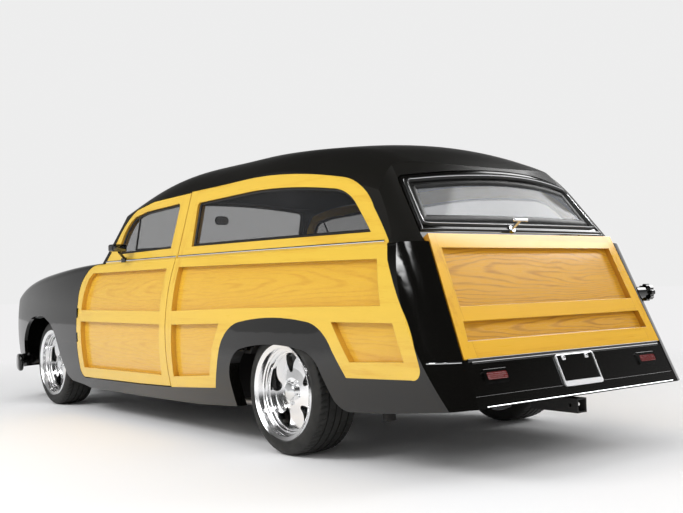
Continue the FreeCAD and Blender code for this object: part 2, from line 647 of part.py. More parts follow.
def rear_pan():
    """Steel below the tailgate, stepped at its crease, with lamp bezels and the gate's hinge."""
    half = TAIL_FOOT_HALF + SHUT_GAP
    hollow = lower_tail(STEEL_WALL)
    upper = SKIN.common(lower_tail(PAN_STEP)).common(
        block(-1400.0, -800.0, -half, half, PAN_CREASE_Z, TAIL_FOOT_Z - SHUT_GAP))
    lower = SKIN.common(lower_tail()).common(block(-1400.0, -800.0, -half, half, PAN_LOW_Z, PAN_CREASE_Z))
    bezel_edge = rounded(TAIL_LAMP_Y, TAIL_LAMP_Z, TAIL_LAMP_WIDE, TAIL_LAMP_HIGH, 14.0)
    bezel = rear_prism(bezel_edge, -1400.0, -900.0).common(lower_tail(PAN_STEP - BEZEL_OUT))
    pan = upper.fuse([lower, bezel, mirrored(bezel)]).removeSplitter().cut(hollow)
    lens_edge = rounded(TAIL_LAMP_Y, TAIL_LAMP_Z, LENS_WIDE, LENS_HIGH, 8.0)
    seat = rear_prism(lens_edge, -1400.0, -900.0, LIFT).cut(lower_tail(LENS_SEAT))
    lens = rear_prism(lens_edge, -1400.0, -900.0).common(lower_tail(PAN_STEP - BEZEL_OUT + 2.0))
    lens = lens.cut(lower_tail(LENS_SEAT))
    web = block(TAIL_FOOT_X - 2.0, TAIL_FOOT_X + 8.0, -HINGE_HALF, HINGE_HALF, TAIL_FOOT_Z - 12.0,
                TAIL_FOOT_Z - 1.0)
    pin = rod(HINGE_RADIUS, (TAIL_FOOT_X, -HINGE_HALF, TAIL_FOOT_Z), (TAIL_FOOT_X, HINGE_HALF, TAIL_FOOT_Z))
    pan = fuse(biggest(pan.cut(seat).cut(mirrored(seat))), web, pin)
    return {"rear_pan": biggest(pan), "tail_lamps": both(lens)}


def front_end():
    shell = SKIN.cut(THIN_LINER)
    hood_cut = plan_prism(HOOD_OUTLINE, 640.0, 1200.0)
    hood_face = Part.Face(outline(HOOD_OUTLINE, lambda x, y: Vector(x, y, 640.0))).makeOffset2D(-SHUT_GAP)
    hood = biggest(shell.common(hood_face.extrude(Vector(0, 0, 560.0))))
    nose_box = block(front(300.0), front(1000.0), -NOSE_HALF, NOSE_HALF, 322.0, 1200.0)
    cowl_box = block(front(-856.0), front(-651.0), -600.0, 600.0, 640.0, 1200.0)
    fender = shell.common(side_prism(FENDER_OUTLINE, 0.0, 1000.0))
    fender = fender.cut(side_prism(DOOR_OUTLINE, 300.0, 1000.0)).cut(hood_cut)
    fender = fender.cut(cowl_box).cut(nose_box).cut(HOUSE)
    lamp_hole = rod(LAMP_RADIUS, (front(600.0), LAMP_Y, LAMP_Z), (front(900.0), LAMP_Y, LAMP_Z))
    fender = fender.cut(lamp_hole).cut(wheel_pocket(front(0.0), FRONT_POCKET))
    grille_hole = block(front(300.0), front(1000.0), -NOSE_HALF, NOSE_HALF, GRILLE_LOW, GRILLE_HIGH)
    nose = shell.common(nose_box).cut(hood_cut).cut(grille_hole)
    lamp = rod(LAMP_RADIUS - LIFT, (front(660.0), LAMP_Y, LAMP_Z), (front(748.0), LAMP_Y, LAMP_Z))
    inside = lower_body(WALL + SHUT_GAP, 100.0, None, STEEL_WALL)
    post = lower_body(WALL + 45.0, 100.0, None, STEEL_WALL)
    fire = block(front(-700.0), front(-680.0), -900.0, 900.0, 300.0, 1100.0).common(inside)
    pillar = block(front(-680.0), front(-590.0), 600.0, 900.0, 300.0, 1100.0).common(inside).cut(post)
    pillar = fuse(pillar, *door_hinges()[2])
    fire = fire.cut(tunnel(FLOOR_THICK))
    cowl = fuse(biggest(shell.common(cowl_box)), fire, pillar, mirrored(pillar))
    below = lower_body(STEEL_WALL, 60.0, None, PLATE_LOW)
    under = lower_body(STEEL_WALL, 60.0, None, STEEL_WALL + PLATE_GAP).cut(below)
    inner = lower_body(STEEL_WALL, 60.0, None, STEEL_WALL - 1.0).cut(below)
    hood_gap = front(-651.0)
    for y in (-420.0, 360.0):
        tab = fuse(under.common(block(hood_gap - 30.0, hood_gap + 40.0, y, y + 60.0, 900.0, 1100.0)),
                   inner.common(block(hood_gap - 40.0, hood_gap - 2.0, y, y + 60.0, 900.0, 1100.0)))
        cowl = fuse(cowl, biggest(tab))
    catch = fuse(under.common(block(HOOD_END - 50.0, HOOD_END + 20.0, -40.0, 40.0, 800.0, 1100.0)),
                 inner.common(block(HOOD_END + 2.0, HOOD_END + 40.0, -40.0, 40.0, 800.0, 1100.0)))
    nose = fuse(nose, biggest(catch))
    bars = []
    pitch = (GRILLE_HIGH - GRILLE_LOW) / GRILLE_BARS
    for n in range(GRILLE_BARS):
        z = GRILLE_LOW + pitch * (n + 0.5)
        bars.append(block(NOSE_X - 36.0, NOSE_X - 20.0, -NOSE_HALF, NOSE_HALF, z - 10.0, z + 10.0))
    for y in (-360.0, -120.0, 120.0, 360.0):
        bars.append(block(NOSE_X - 46.0, NOSE_X - 36.0, y - 10.0, y + 10.0, GRILLE_LOW, GRILLE_HIGH))
    return {"hood": hood, "front_fenders": both(biggest(fender)), "nose_panel": nose, "cowl": cowl,
            "headlamps": both(lamp), "grille": fuse(*bars)}


def tyre(row):
    width, rim_width, lip = row
    mid = lip - rim_width / 2
    half = width / 2
    r1, r2, r3 = RIM_RADIUS, RIM_RADIUS + 34.0, TYRE_RADIUS

    def at(y, r):
        return Vector(0, mid + y, r)

    bead = rim_width / 2 - FLANGE_WIDE
    over = FLANGE_RADIUS + 3.0
    profile = Part.Wire([
        line(at(-bead, over), at(-bead, r1)),
        line(at(-bead, r1), at(bead, r1)),
        line(at(bead, r1), at(bead, over)),
        arc(at(bead, over), at(half, r2 + 8.0), at(half - 14.0, r3 - 14.0)),
        arc(at(half - 14.0, r3 - 14.0), at(half - 20.0, r3 - 4.5), at(half - 32.0, r3 - 2.0)),
        arc(at(half - 32.0, r3 - 2.0), at(0.0, r3), at(-half + 32.0, r3 - 2.0)),
        arc(at(-half + 32.0, r3 - 2.0), at(-half + 20.0, r3 - 4.5), at(-half + 14.0, r3 - 14.0)),
        arc(at(-half + 14.0, r3 - 14.0), at(-half, r2 + 8.0), at(-bead, over)),
    ])
    return Part.Face(profile).revolve(Vector(0, 0, 0), Vector(0, 1, 0), 360.0)


# One swept window of the wheel. Columns: radius and angle from the top, clockwise from outside.
WINDOW_EDGE = [
    ((188.0, 2.0), (180.0, -20.0)), ((140.0, -22.0), (98.0, -14.0)), ((91.0, -6.0), (100.0, 1.0)),
    ((148.0, 5.0), (186.0, 25.0)),
]


def rim(row):
    """Deep wheel: a stepped barrel and a dished face with swept windows."""
    _, rim_width, lip = row
    inner, face_y = lip - rim_width, lip - FACE_DEPTH
    r, lip_wide = RIM_RADIUS - LIFT, FLANGE_WIDE - LIFT
    bore = HUB_BORE + BORE_CLEARANCE
    barrel = [
        (inner, FLANGE_RADIUS), (inner + lip_wide, FLANGE_RADIUS), (inner + lip_wide, r),
        (lip - lip_wide, r), (lip - lip_wide, FLANGE_RADIUS), (lip, FLANGE_RADIUS - 4.0),
        (lip - 3.0, FLANGE_RADIUS - 9.0), (lip - 10.0, r - 6.0), (lip - 34.0, r - 8.0),
        (lip - 38.0, r - 16.0),
        (face_y - 10.0, r - 18.0), (face_y - 42.0, r - 18.0), (face_y - 48.0, r - RIM_WALL),
        (inner + 20.0, r - RIM_WALL), (inner, r - 4.0),
    ]
    disc = [
        (face_y - 14.0, r - 15.0), (face_y - 40.0, r - 15.0), (face_y - 52.0, 120.0), (face_y - 44.0, 60.0),
        (face_y - 44.0, bore), (face_y, bore), (face_y, 66.0), (face_y - 8.0, 110.0),
    ]
    faces = [Part.Face(outline(path, lambda y, z: Vector(0, y, z))) for path in (barrel, disc)]
    ring, face = [f.revolve(Vector(0, 0, 0), Vector(0, 1, 0), 360.0) for f in faces]

    def around(radius, angle):
        turn = math.radians(angle)
        return Vector(-radius * math.sin(turn), face_y - 70.0, radius * math.cos(turn))

    cutter = Part.Face(outline(WINDOW_EDGE, around)).extrude(Vector(0, 90.0, 0))
    for n in range(WINDOWS):
        turned = cutter.copy()
        turned.rotate(Vector(0, 0, 0), Vector(0, 1, 0), n * 360.0 / WINDOWS)
        face = face.cut(turned)
    cap = Part.makeCylinder(CAP_RADIUS, CAP_THICK, Vector(0, face_y, 0), Vector(0, 1, 0))
    return fuse(ring, face, cap)


def wheels():
    made = {}
    for end, row, x in (("rear", REAR_WHEEL, 0.0), ("front", FRONT_WHEEL, front(0.0))):
        for name, shape in (("tyre", tyre(row)), ("rim", rim(row))):
            shape.translate(Vector(x, 0, AXLE_HEIGHT))
            made[f"{name}_{end}_left"] = shape
            made[f"{name}_{end}_right"] = mirrored(shape)
    return made


def pair(x0, x1, y0, y1, z0, z1):
    """A block on the left and its like on the right."""
    return [block(x0, x1, y0, y1, z0, z1), block(x0, x1, -y1, -y0, z0, z1)]


def drum_place(row):
    """Middle of the wheel's mounting face, and the inner side of its brake drum."""
    face_y = row[2] - FACE_DEPTH
    return face_y, face_y - DRUM_WIDE - DRUM_GAP


def rear_axle():
    """Tube, shaft and differential, on leaf springs that hang from the frame."""
    z = AXLE_HEIGHT
    face_y, drum = drum_place(REAR_WHEEL)
    tube = rod(38.0, (0, -drum - 40.0, z), (0, drum + 40.0, z))
    shaft = rod(HUB_BORE, (0, 2.0 - face_y, z), (0, face_y - 2.0, z))
    ball = Part.makeSphere(115.0, Vector(-20.0, 0, z))
    ball = ball.common(block(-200.0, 200.0, -90.0, 90.0, z - 130.0, z + 130.0))
    prop = rod(32.0, (60.0, 0, z), (front(-1000.0), 0, z))
    parts = [shaft, ball, prop]
    parts += [rod(DRUM_RADIUS, (0, s * drum, z), (0, s * (drum + DRUM_WIDE), z)) for s in (-1, 1)]
    in_y, out_y = SPRING_Y - 30.0, SPRING_Y + 30.0
    parts += pair(-560.0, 480.0, in_y, out_y, z + 38.0, z + 66.0)
    parts += pair(-60.0, 60.0, in_y, out_y, z - 20.0, z + 40.0)
    parts += pair(-560.0, -520.0, RAIL_Y - 30.0, out_y, z + 60.0, LOAD_FLOOR_Z - RAIL_HIGH)
    parts += pair(440.0, 480.0, RAIL_Y + 30.0, in_y, z + 38.0, z + 66.0)
    return {"rear_axle": fuse(tube, *parts)}


def front_axle():
    """Cross member, arms and king pins, and a knuckle that turns about each pin."""
    x, z, y_pin = front(0.0), AXLE_HEIGHT, KING_PIN_Y
    out_y = y_pin + 25.0
    arms = pair(x - 40.0, x + 40.0, 380.0, out_y, FLOOR_Z, z - 60.0)
    arms += pair(x - 40.0, x + 40.0, 380.0, out_y, z + 120.0, z + 145.0)
    for s in (-1, 1):
        arms.append(rod(52.0, (x, s * 440.0, z - 62.0), (x, s * 440.0, z + 180.0)))
        arms.append(rod(KING_PIN_RADIUS, (x, s * y_pin, z - 70.0), (x, s * y_pin, z + 130.0)))
    cross = block(x - 60.0, x + 60.0, -400.0, 400.0, FLOOR_Z, z + 20.0)
    face_y, drum = drum_place(FRONT_WHEEL)
    upright = block(x - 26.0, x + 26.0, y_pin - 24.0, y_pin + 24.0, z - 60.0 + LIFT, z + 120.0 - LIFT)
    spindle = rod(HUB_BORE, (x, y_pin, z), (x, face_y - 2.0, z))
    plate = rod(DRUM_RADIUS, (x, drum, z), (x, drum + DRUM_WIDE, z))
    neck = rod(44.0, (x, y_pin, z), (x, drum + 10.0, z))
    steer = block(x - 150.0, x - 20.0, y_pin - 14.0, y_pin + 14.0, z - 40.0, z - 20.0)
    bore = rod(KING_PIN_RADIUS + BORE_CLEARANCE, (x, y_pin, z - 80.0), (x, y_pin, z + 150.0))
    knuckle = biggest(fuse(upright, spindle, plate, neck, steer).cut(bore))
    return {"front_suspension": fuse(cross, *arms), "knuckle_left": knuckle,
            "knuckle_right": mirrored(knuckle)}


def chassis():
    """Rails that kick up over the rear axle, their cross members, and the tow hitch."""
    low, high, up = FLOOR_Z - RAIL_HIGH, FLOOR_Z, LOAD_FLOOR_Z
    path = [
        (front(700.0), low), (front(700.0), high), (STEP_X - 20.0, high), (STEP_X - 180.0, up),
        (-980.0, up), (-1000.0, up - 20.0), (-1000.0, up - RAIL_HIGH), (STEP_X - 210.0, up - RAIL_HIGH),
        (STEP_X - 50.0, low),
    ]
    rail = side_prism(path, RAIL_Y - RAIL_WIDE / 2, RAIL_Y + RAIL_WIDE / 2)
    rails = [rail, mirrored(rail)]
    members = [(front(640.0), low), (front(-560.0), low), (1250.0, low), (-420.0, up - RAIL_HIGH),
               (-960.0, up - RAIL_HIGH)]
    for x, z in members:
        rails.append(block(x, x + 60.0, -RAIL_Y, RAIL_Y, z + 5.0, z + RAIL_HIGH - 5.0))
    x0, x1, z, side = HITCH_BACK, -820.0, HITCH_Z, RAIL_Y + RAIL_WIDE / 2
    tube = block(x0, x1, -HITCH_HALF, HITCH_HALF, z - HITCH_HALF, z + HITCH_HALF)
    inner = HITCH_HALF - HITCH_WALL
    tube = tube.cut(block(x0 - 5.0, x0 + 225.0, -inner, inner, z - inner, z + inner))
    cross = block(-950.0, -890.0, -side, side, z + HITCH_HALF - 5.0, z + HITCH_HALF + 45.0)
    plates = pair(-950.0, x1, side, side + 8.0, z + HITCH_HALF - 5.0, up - 10.0)
    hitch = fuse(tube, cross, *plates)
    hitch = hitch.cut(rod(8.0, (x0 + 40.0, -60.0, z), (x0 + 40.0, 60.0, z)))
    return {"chassis_frame": fuse(*rails), "tow_hitch": hitch}


def floor():
    inner = LINER.common(lower_tail(TAILGATE_THICK + 12.0, WALL))
    low = block(STEP_X, front(-680.0), -900.0, 900.0, FLOOR_Z, FLOOR_Z + FLOOR_THICK)
    step = block(STEP_X - FLOOR_THICK, STEP_X, -900.0, 900.0, FLOOR_Z, LOAD_FLOOR_Z + FLOOR_THICK)
    high = block(-1050.0, STEP_X, -900.0, 900.0, LOAD_FLOOR_Z, LOAD_FLOOR_Z + FLOOR_THICK)
    toe = block(front(-700.0), front(-680.0), -740.0, 740.0, FLOOR_Z, 300.0)
    pan = fuse(low, step, high, toe).common(inner)
    cover_room = block(STEP_X - FLOOR_THICK, front(-680.0), -900.0, 900.0, FLOOR_Z, 600.0)
    pan = fuse(pan, tunnel(FLOOR_THICK).common(cover_room)).cut(tunnel(0.0))
    y0 = REAR_WHEEL[2] - REAR_WHEEL[1] / 2 - REAR_WHEEL[0] / 2 - 22.0
    radius = TYRE_RADIUS + 40.0
    outer = rod(radius + 10.0, (0, y0, AXLE_HEIGHT), (0, 900.0, AXLE_HEIGHT))
    hollow = rod(radius, (0, y0 + 10.0, AXLE_HEIGHT), (0, 950.0, AXLE_HEIGHT))
    tub = outer.common(inner).cut(hollow).cut(block(-500.0, 500.0, 0.0, 1000.0, 0.0, LOAD_FLOOR_Z))
    for s in (outer, mirrored(outer)):
        pan = pan.cut(s)
    pan = fuse(pan, tub, mirrored(tub))
    return {"floor_pan": biggest(pan)}


def inside():
    top = FLOOR_Z + FLOOR_THICK
    seat_y = 640.0
    front_cushion = block(1080.0, 1600.0, -seat_y, seat_y, top + LIFT, top + 290.0)
    front_cushion = front_cushion.cut(tunnel(FLOOR_THICK + LIFT))
    front_back = block(960.0, 1110.0, -seat_y, seat_y, top + 200.0, top + 640.0)
    rear_cushion = block(130.0, 560.0, -540.0, 540.0, LOAD_FLOOR_Z + FLOOR_THICK + LIFT, 640.0)
    rear_back = block(20.0, 160.0, -540.0, 540.0, 560.0, 930.0)
    dash = block(front(-1010.0), front(-830.0), -740.0, 740.0, 720.0, 1100.0)
    dash = biggest(dash.common(THIN_LINER).common(lower_body(WALL + 12.0, 60.0, 1120.0)))
    ring = Part.makeTorus(190.0, 11.0, Vector(0, 0, 0), Vector(0, 0, 1))
    hub = Part.makeCylinder(32.0, 40.0, Vector(0, 0, -35.0))
    spoke = block(-190.0, 190.0, -9.0, 9.0, -6.0, 6.0)
    column = Part.makeCylinder(20.0, 300.0, Vector(0, 0, -320.0))
    wheel = fuse(ring, hub, spoke, column)
    wheel.rotate(Vector(0, 0, 0), Vector(0, 1, 0), -62.0)
    wheel.translate(Vector(front(-1206.0), 370.0, 815.0))
    wheel = wheel.cut(dash)
    engine = block(front(-420.0), front(330.0), -230.0, 230.0, AXLE_HEIGHT + 20.0, 830.0)
    gearbox = block(front(-1000.0), front(-420.0), -105.0, 105.0, AXLE_HEIGHT - 70.0, AXLE_HEIGHT + 70.0)
    engine = fuse(engine, gearbox)
    tank = block(-885.0, -435.0, -340.0, 340.0, 300.0, LOAD_FLOOR_Z - LIFT)
    tank = tank.makeFillet(30.0, tank.Edges)
    return {"front_seat": fuse(front_cushion, front_back), "rear_seat": fuse(rear_cushion, rear_back),
            "dashboard": dash, "steering_wheel": biggest(wheel), "engine": engine, "fuel_tank": tank}


def outside():
    bumper_out = [
        (front(500.0), 905.0), (front(620.0), 880.0), ((front(790.0), 780.0), (front(835.0), 560.0)),
        ((front(849.0), 0.0), (front(835.0), -560.0)),
        ((front(790.0), -780.0), (front(620.0), -880.0)), (front(500.0), -905.0),
        (front(500.0), -885.0), (front(615.0), -860.0), ((front(770.0), -765.0), (front(812.0), -550.0)),
        ((front(825.0), 0.0), (front(812.0), 550.0)),
        ((front(770.0), 765.0), (front(615.0), 860.0)), (front(500.0), 885.0),
    ]
    bumper = plan_prism(bumper_out, 226.0, 326.0)
    in_y, out_y = RAIL_Y - 20.0, RAIL_Y + 20.0
    irons = pair(front(700.0), front(818.0), in_y, out_y, 230.0, 290.0)
    irons += pair(front(640.0), front(720.0), in_y, out_y, FLOOR_Z, 290.0)
    bumper = fuse(bumper, *irons)
    route = [(-598.0, 700.0, 206.0), (-586.0, 700.0, 262.0), (-430.0, 592.0, 372.0), (330.0, 592.0, 395.0),
             (500.0, 592.0, 182.0), (front(-650.0), 592.0, 182.0), (front(-560.0), 560.0, 250.0),
             (front(-400.0), 290.0, 300.0), (front(-350.0), 270.0, 345.0), (front(-350.0), 230.0, 345.0)]
    pipe = [rod(PIPE_RADIUS, a, b) for a, b in zip(route, route[1:])]
    pipe += [Part.makeSphere(PIPE_RADIUS, Vector(*p)) for p in route[1:-2]]
    pipe[-1] = rod(PIPE_RADIUS, route[-2], route[-1])
    muffler = block(800.0, 1300.0, 500.0, 690.0, 148.0, 210.0)
    pipe.append(muffler.makeFillet(24.0, [e for e in muffler.Edges if e.Length > 400.0]))
    return {"front_bumper": bumper, "exhaust": both(fuse(*pipe))}


def small_fittings():
    """The fuel filler's lobed cap on the right side, and the liftgate's T-handle."""
    neck = rod(30.0, (CAP_X, 720.0, CAP_Z), (CAP_X, 850.0, CAP_Z)).cut(SKIN.common(lower_tail()))
    cap = rod(FILLER_RADIUS, (CAP_X, 848.0, CAP_Z), (CAP_X, 878.0, CAP_Z))
    for n in range(FILLER_LOBES):
        turn = math.tau * (n + 0.5) / FILLER_LOBES
        x, z = CAP_X + (FILLER_RADIUS + 3.0) * math.cos(turn), CAP_Z + (FILLER_RADIUS + 3.0) * math.sin(turn)
        cap = cap.cut(rod(9.0, (x, 840.0, z), (x, 890.0, z)))
    knob = rod(22.0, (CAP_X, 876.0, CAP_Z), (CAP_X, 892.0, CAP_Z))
    filler = mirrored(fuse(biggest(neck), cap, knob))
    x = UPPER_TAIL[3][0] + UPPER_TAIL[3][3] * (HANDLE_Z - UPPER_TAIL[3][2])
    lean = Vector(-0.8, 0, 0.6)
    root, tip = Vector(x, HANDLE_Y, HANDLE_Z), Vector(x, HANDLE_Y, HANDLE_Z) + lean * HANDLE_REACH
    stem = rod(8.0, root - lean * 20.0, tip)
    boss = rod(17.0, root - lean * 20.0, root + lean * 12.0)
    handle = biggest(fuse(stem, boss).cut(HOUSE))
    grip = rod(7.0, tip - Vector(0, GRIP_HALF, 0), tip + Vector(0, GRIP_HALF, 0))
    ends = [Part.makeSphere(9.0, tip + Vector(0, y, 0)) for y in (-GRIP_HALF, GRIP_HALF)]
    return {"fuel_cap": filler, "liftgate_handle": fuse(handle, grip, *ends)}


def build():
    made = {}
    for maker in (doors, quarter, side_steel, roof, tailgate, liftgate, rear_pan, front_end, wheels,
                  rear_axle, front_axle, chassis, floor, inside, outside, small_fittings):
        made.update(maker())
    for name in [n for n in made if n.startswith("door_left")]:
        made[name.replace("left", "right")] = mirrored(made[name])
    return made


os.makedirs("parts", exist_ok=True)
shift = Vector(REAR_OVERHANG - OVERALL_LENGTH / 2, 0, 0)
for name, shape in build().items():
    shape.translate(shift)
    shape.exportStep(f"parts/{name}.step")
    box = shape.BoundBox
    print(f"{name:20s} solids {len(shape.Solids)} valid {shape.isValid()} "
          f"x {box.XMin:.0f} {box.XMax:.0f} y {box.YMin:.0f} {box.YMax:.0f} z {box.ZMin:.0f} {box.ZMax:.0f}")
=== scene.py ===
import bpy
import bmesh
import json
import math
from mathutils import Matrix, Vector
from mathutils.bvhtree import BVHTree


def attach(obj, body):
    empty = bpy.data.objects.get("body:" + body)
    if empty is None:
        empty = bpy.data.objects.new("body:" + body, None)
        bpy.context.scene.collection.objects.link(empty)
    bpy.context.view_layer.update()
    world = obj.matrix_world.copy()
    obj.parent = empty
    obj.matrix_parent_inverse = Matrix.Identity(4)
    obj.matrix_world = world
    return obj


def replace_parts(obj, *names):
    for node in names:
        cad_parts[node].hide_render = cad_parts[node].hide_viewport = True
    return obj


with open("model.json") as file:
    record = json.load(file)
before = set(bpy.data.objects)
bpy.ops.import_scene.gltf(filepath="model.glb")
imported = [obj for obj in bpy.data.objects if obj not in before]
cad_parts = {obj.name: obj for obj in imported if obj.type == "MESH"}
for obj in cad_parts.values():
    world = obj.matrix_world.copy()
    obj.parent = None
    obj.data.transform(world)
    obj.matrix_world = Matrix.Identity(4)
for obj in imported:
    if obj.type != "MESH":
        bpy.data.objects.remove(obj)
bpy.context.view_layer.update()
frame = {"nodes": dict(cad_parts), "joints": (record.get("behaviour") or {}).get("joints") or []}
node = frame["nodes"]

# The camera stands behind the car's left rear corner at hip height, as in the photograph,
# tilted a little upwards and turned a little on its own axis.
CAMERA_PLACE, FOCAL_LENGTH, SENSOR_WIDTH = Vector((-5.03475, 3.419, 0.808)), 49.83, 36.0
YAW, PITCH, ROLL = (math.radians(a) for a in (-38.34, 1.66, -1.465))
ahead = Vector((math.cos(YAW) * math.cos(PITCH), math.sin(YAW) * math.cos(PITCH), math.sin(PITCH)))
level = Vector((math.sin(YAW), -math.cos(YAW), 0))
upright = level.cross(ahead)
right = level * math.cos(ROLL) + upright * math.sin(ROLL)
up = upright * math.cos(ROLL) - level * math.sin(ROLL)
stand = Matrix((right, up, -ahead)).transposed().to_4x4()
stand.translation = CAMERA_PLACE
lens = bpy.data.cameras.new("photo_lens")
lens.lens, lens.sensor_width = FOCAL_LENGTH, SENSOR_WIDTH
camera = bpy.data.objects.new("photo_camera", lens)
camera.matrix_world = stand
bpy.context.scene.collection.objects.link(camera)
bpy.context.scene.camera = camera

# The body steel: pressed sheet in many coats of black lacquer, rubbed down and polished. The coat
# ripples very slightly, and patches of fine dust soften its gloss.
GENTLE_EDGE = math.radians(28)


class Shade:
    """One output of a material's nodes; arithmetic on it adds the Math nodes."""

    def __init__(self, tree, socket=None):
        self.tree, self.socket = tree, socket

    def add(self, kind, settings, inputs, out=0):
        """Any node, from its type, its settings, and the values or links of its sockets."""
        made = self.tree.nodes.new("ShaderNode" + kind)
        for key, value in settings.items():
            if key == "stops":
                points = made.color_ramp.elements
                while len(points) < len(value):
                    points.new(1.0)
                for point, (place, colour) in zip(points, value):
                    point.position, point.color = place, (*colour, 1.0)
            else:
                setattr(made, key, value)
        for key, value in inputs.items():
            if isinstance(value, Shade):
                self.tree.links.new(value.socket, made.inputs[key])
            else:
                made.inputs[key].default_value = value
        return Shade(self.tree, made.outputs[out])

    def math(self, operation, *values):
        return self.add("Math", {"operation": operation}, dict(enumerate(values)))

    def __add__(self, other):
        return self.math("ADD", self, other)

    def __radd__(self, other):
        return self.math("ADD", other, self)

    def __sub__(self, other):
        return self.math("SUBTRACT", self, other)

    def __rsub__(self, other):
        return self.math("SUBTRACT", other, self)

    def __mul__(self, other):
        return self.math("MULTIPLY", self, other)

    def __rmul__(self, other):
        return self.math("MULTIPLY", other, self)

    def __gt__(self, other):
        return self.math("GREATER_THAN", self, other)

    def __lt__(self, other):
        return self.math("LESS_THAN", self, other)

    def absolute(self):
        return self.math("ABSOLUTE", self)

    def root(self):
        return self.math("SQRT", self)

    def sine(self):
        return self.math("SINE", self)

    def least(self, other):
        return self.math("MINIMUM", self, other)

    def blur(self, low, high):
        """From 0 at low to 1 at high."""
        return self.add("MapRange", {}, {"Value": self, "From Min": low, "From Max": high})

    def stretch(self, x, y, z):
        """The place, stretched by a factor along each axis."""
        return self.add("VectorMath", {"operation": "MULTIPLY"}, {0: self, 1: (x, y, z)})

    def noise(self, scale, detail=3.0, rough=0.5):
        return self.add("TexNoise", {}, {"Vector": self, "Scale": scale, "Detail": detail,
                                         "Roughness": rough})

    def axes(self):
        """Its three numbers."""
        split = self.add("SeparateXYZ", {}, {0: self}).socket.node
        return [Shade(self.tree, number) for number in split.outputs]

    def ramp(self, *stops):
        """A colour that changes along stops, which are places from 0 to 1 and their colours."""
        return self.add("ValToRGB", {"stops": stops}, {"Fac": self})

    def between(self, first, second):
        """The first colour where this is 0 and the second where it is 1."""
        return self.add("Mix", {"data_type": "RGBA"}, {0: self, 6: first, 7: second}, 2)

    def bump(self, distance, strength=1.0, over=None):
        """Relief with this height, over the plain surface or over another one."""
        below = {"Normal": over} if over else {}
        return self.add("Bump", {}, {"Height": self, "Distance": distance, "Strength": strength, **below})


def material(name, **constants):
    """A new material with its shader, and the place on the object that its patterns follow."""
    made = bpy.data.materials.new(name)
    made.use_nodes = True
    shader = made.node_tree.nodes["Principled BSDF"]
    for key, value in constants.items():
        shader.inputs[key.replace("_", " ")].default_value = value
    return made, shader, Shade(made.node_tree).add("TexCoord", {}, {}, "Object")


def feed(shader, **links):
    """Links what changes over the surface to the shader's sockets."""
    for key, value in links.items():
        value.tree.links.new(value.socket, shader.inputs[key.replace("_", " ")])


def dress(made, *names):
    """Gives CAD nodes a material, with smooth shading across their gentle edges."""
    for name in names:
        part = node[name]
        part.data.materials.clear()
        part.data.materials.append(made)
        part.data.shade_smooth()
        part.data.set_sharp_from_angle(angle=GENTLE_EDGE)


lacquer, shader, place = material("black_lacquer", Base_Color=(0.0035, 0.0033, 0.0028, 1), Coat_Weight=0.6,
                                  Coat_Roughness=0.03, Specular_IOR_Level=0.22)
ripple = place.noise(7.0, 2.0) * 0.7 + place.noise(38.0, 2.0) * 0.3
dust = place.noise(3.0, 4.0).blur(0.35, 0.75)
feed(shader, Roughness=0.05 + dust * 0.05, Normal=ripple.bump(0.0005, 0.2))
dress(lacquer, "side_steel", "rear_pan", "hood", "front_fenders", "nose_panel", "cowl", "front_bumper",
      "fuel_cap", "liftgate_frame", "door_left_mirror", "door_right_mirror")

# The roof: one welded steel skin down to the belt, in the same black rubbed to a satin sheen.
satin, shader, place = material("roof_satin", Base_Color=(0.0085, 0.0080, 0.0068, 1), Coat_Weight=0.12,
                                Coat_Roughness=0.12, Specular_IOR_Level=0.22)
dust = place.noise(4.0, 4.0).blur(0.3, 0.75)
feed(shader, Roughness=0.30 + dust * 0.10, Normal=place.noise(9.0, 2.0).bump(0.0005, 0.2))
dress(satin, "roof")

# The chassis, axles, tow hitch and fuel tank: pressed and welded steel under satin black chassis
# paint, with road dust caught in its thin texture.
chassis_paint, shader, place = material("chassis_paint", Specular_IOR_Level=0.4)
grit = place.noise(60.0, 6.0, 0.7)
feed(shader, Base_Color=grit.ramp((0.35, (0.010, 0.010, 0.010)), (0.75, (0.030, 0.028, 0.026))),
     Roughness=0.45 + grit * 0.3, Normal=grit.bump(0.0008, 0.4))
dress(chassis_paint, "chassis_frame", "front_suspension", "rear_axle", "knuckle_left", "knuckle_right",
      "tow_hitch", "fuel_tank")

# The floor: one welded steel pan, in chassis paint below. Charcoal carpet is glued to what faces
# up inside the car.
CARPET_ABOVE, FACES_UP = 0.20, 0.3
carpet, shader, place = material("floor_lining", Specular_IOR_Level=0.2)
facing = place.add("NewGeometry", {}, {}, "True Normal").axes()
covered = (facing[2] > FACES_UP) * (place.axes()[2] > CARPET_ABOVE)
tufts = place.noise(420.0, 3.0, 0.7)
loops = tufts.ramp((0.3, (0.016, 0.015, 0.015)), (0.75, (0.050, 0.048, 0.046)))
feed(shader, Base_Color=covered.between((0.018, 0.017, 0.016, 1), loops), Roughness=0.6 + covered * 0.35,
     Normal=tufts.bump(0.002, 0.5))
dress(carpet, "floor_pan")

# The engine block and gearbox: grey iron castings, rough from the sand of their moulds, under the
# closed hood.
casting, shader, place = material("iron_casting", Metallic=0.6)
sand = place.noise(140.0, 5.0, 0.6)
feed(shader, Base_Color=sand.ramp((0.3, (0.045, 0.046, 0.048)), (0.7, (0.09, 0.09, 0.09))),
     Roughness=0.5 + sand * 0.25, Normal=sand.bump(0.001, 0.5))
dress(casting, "engine")

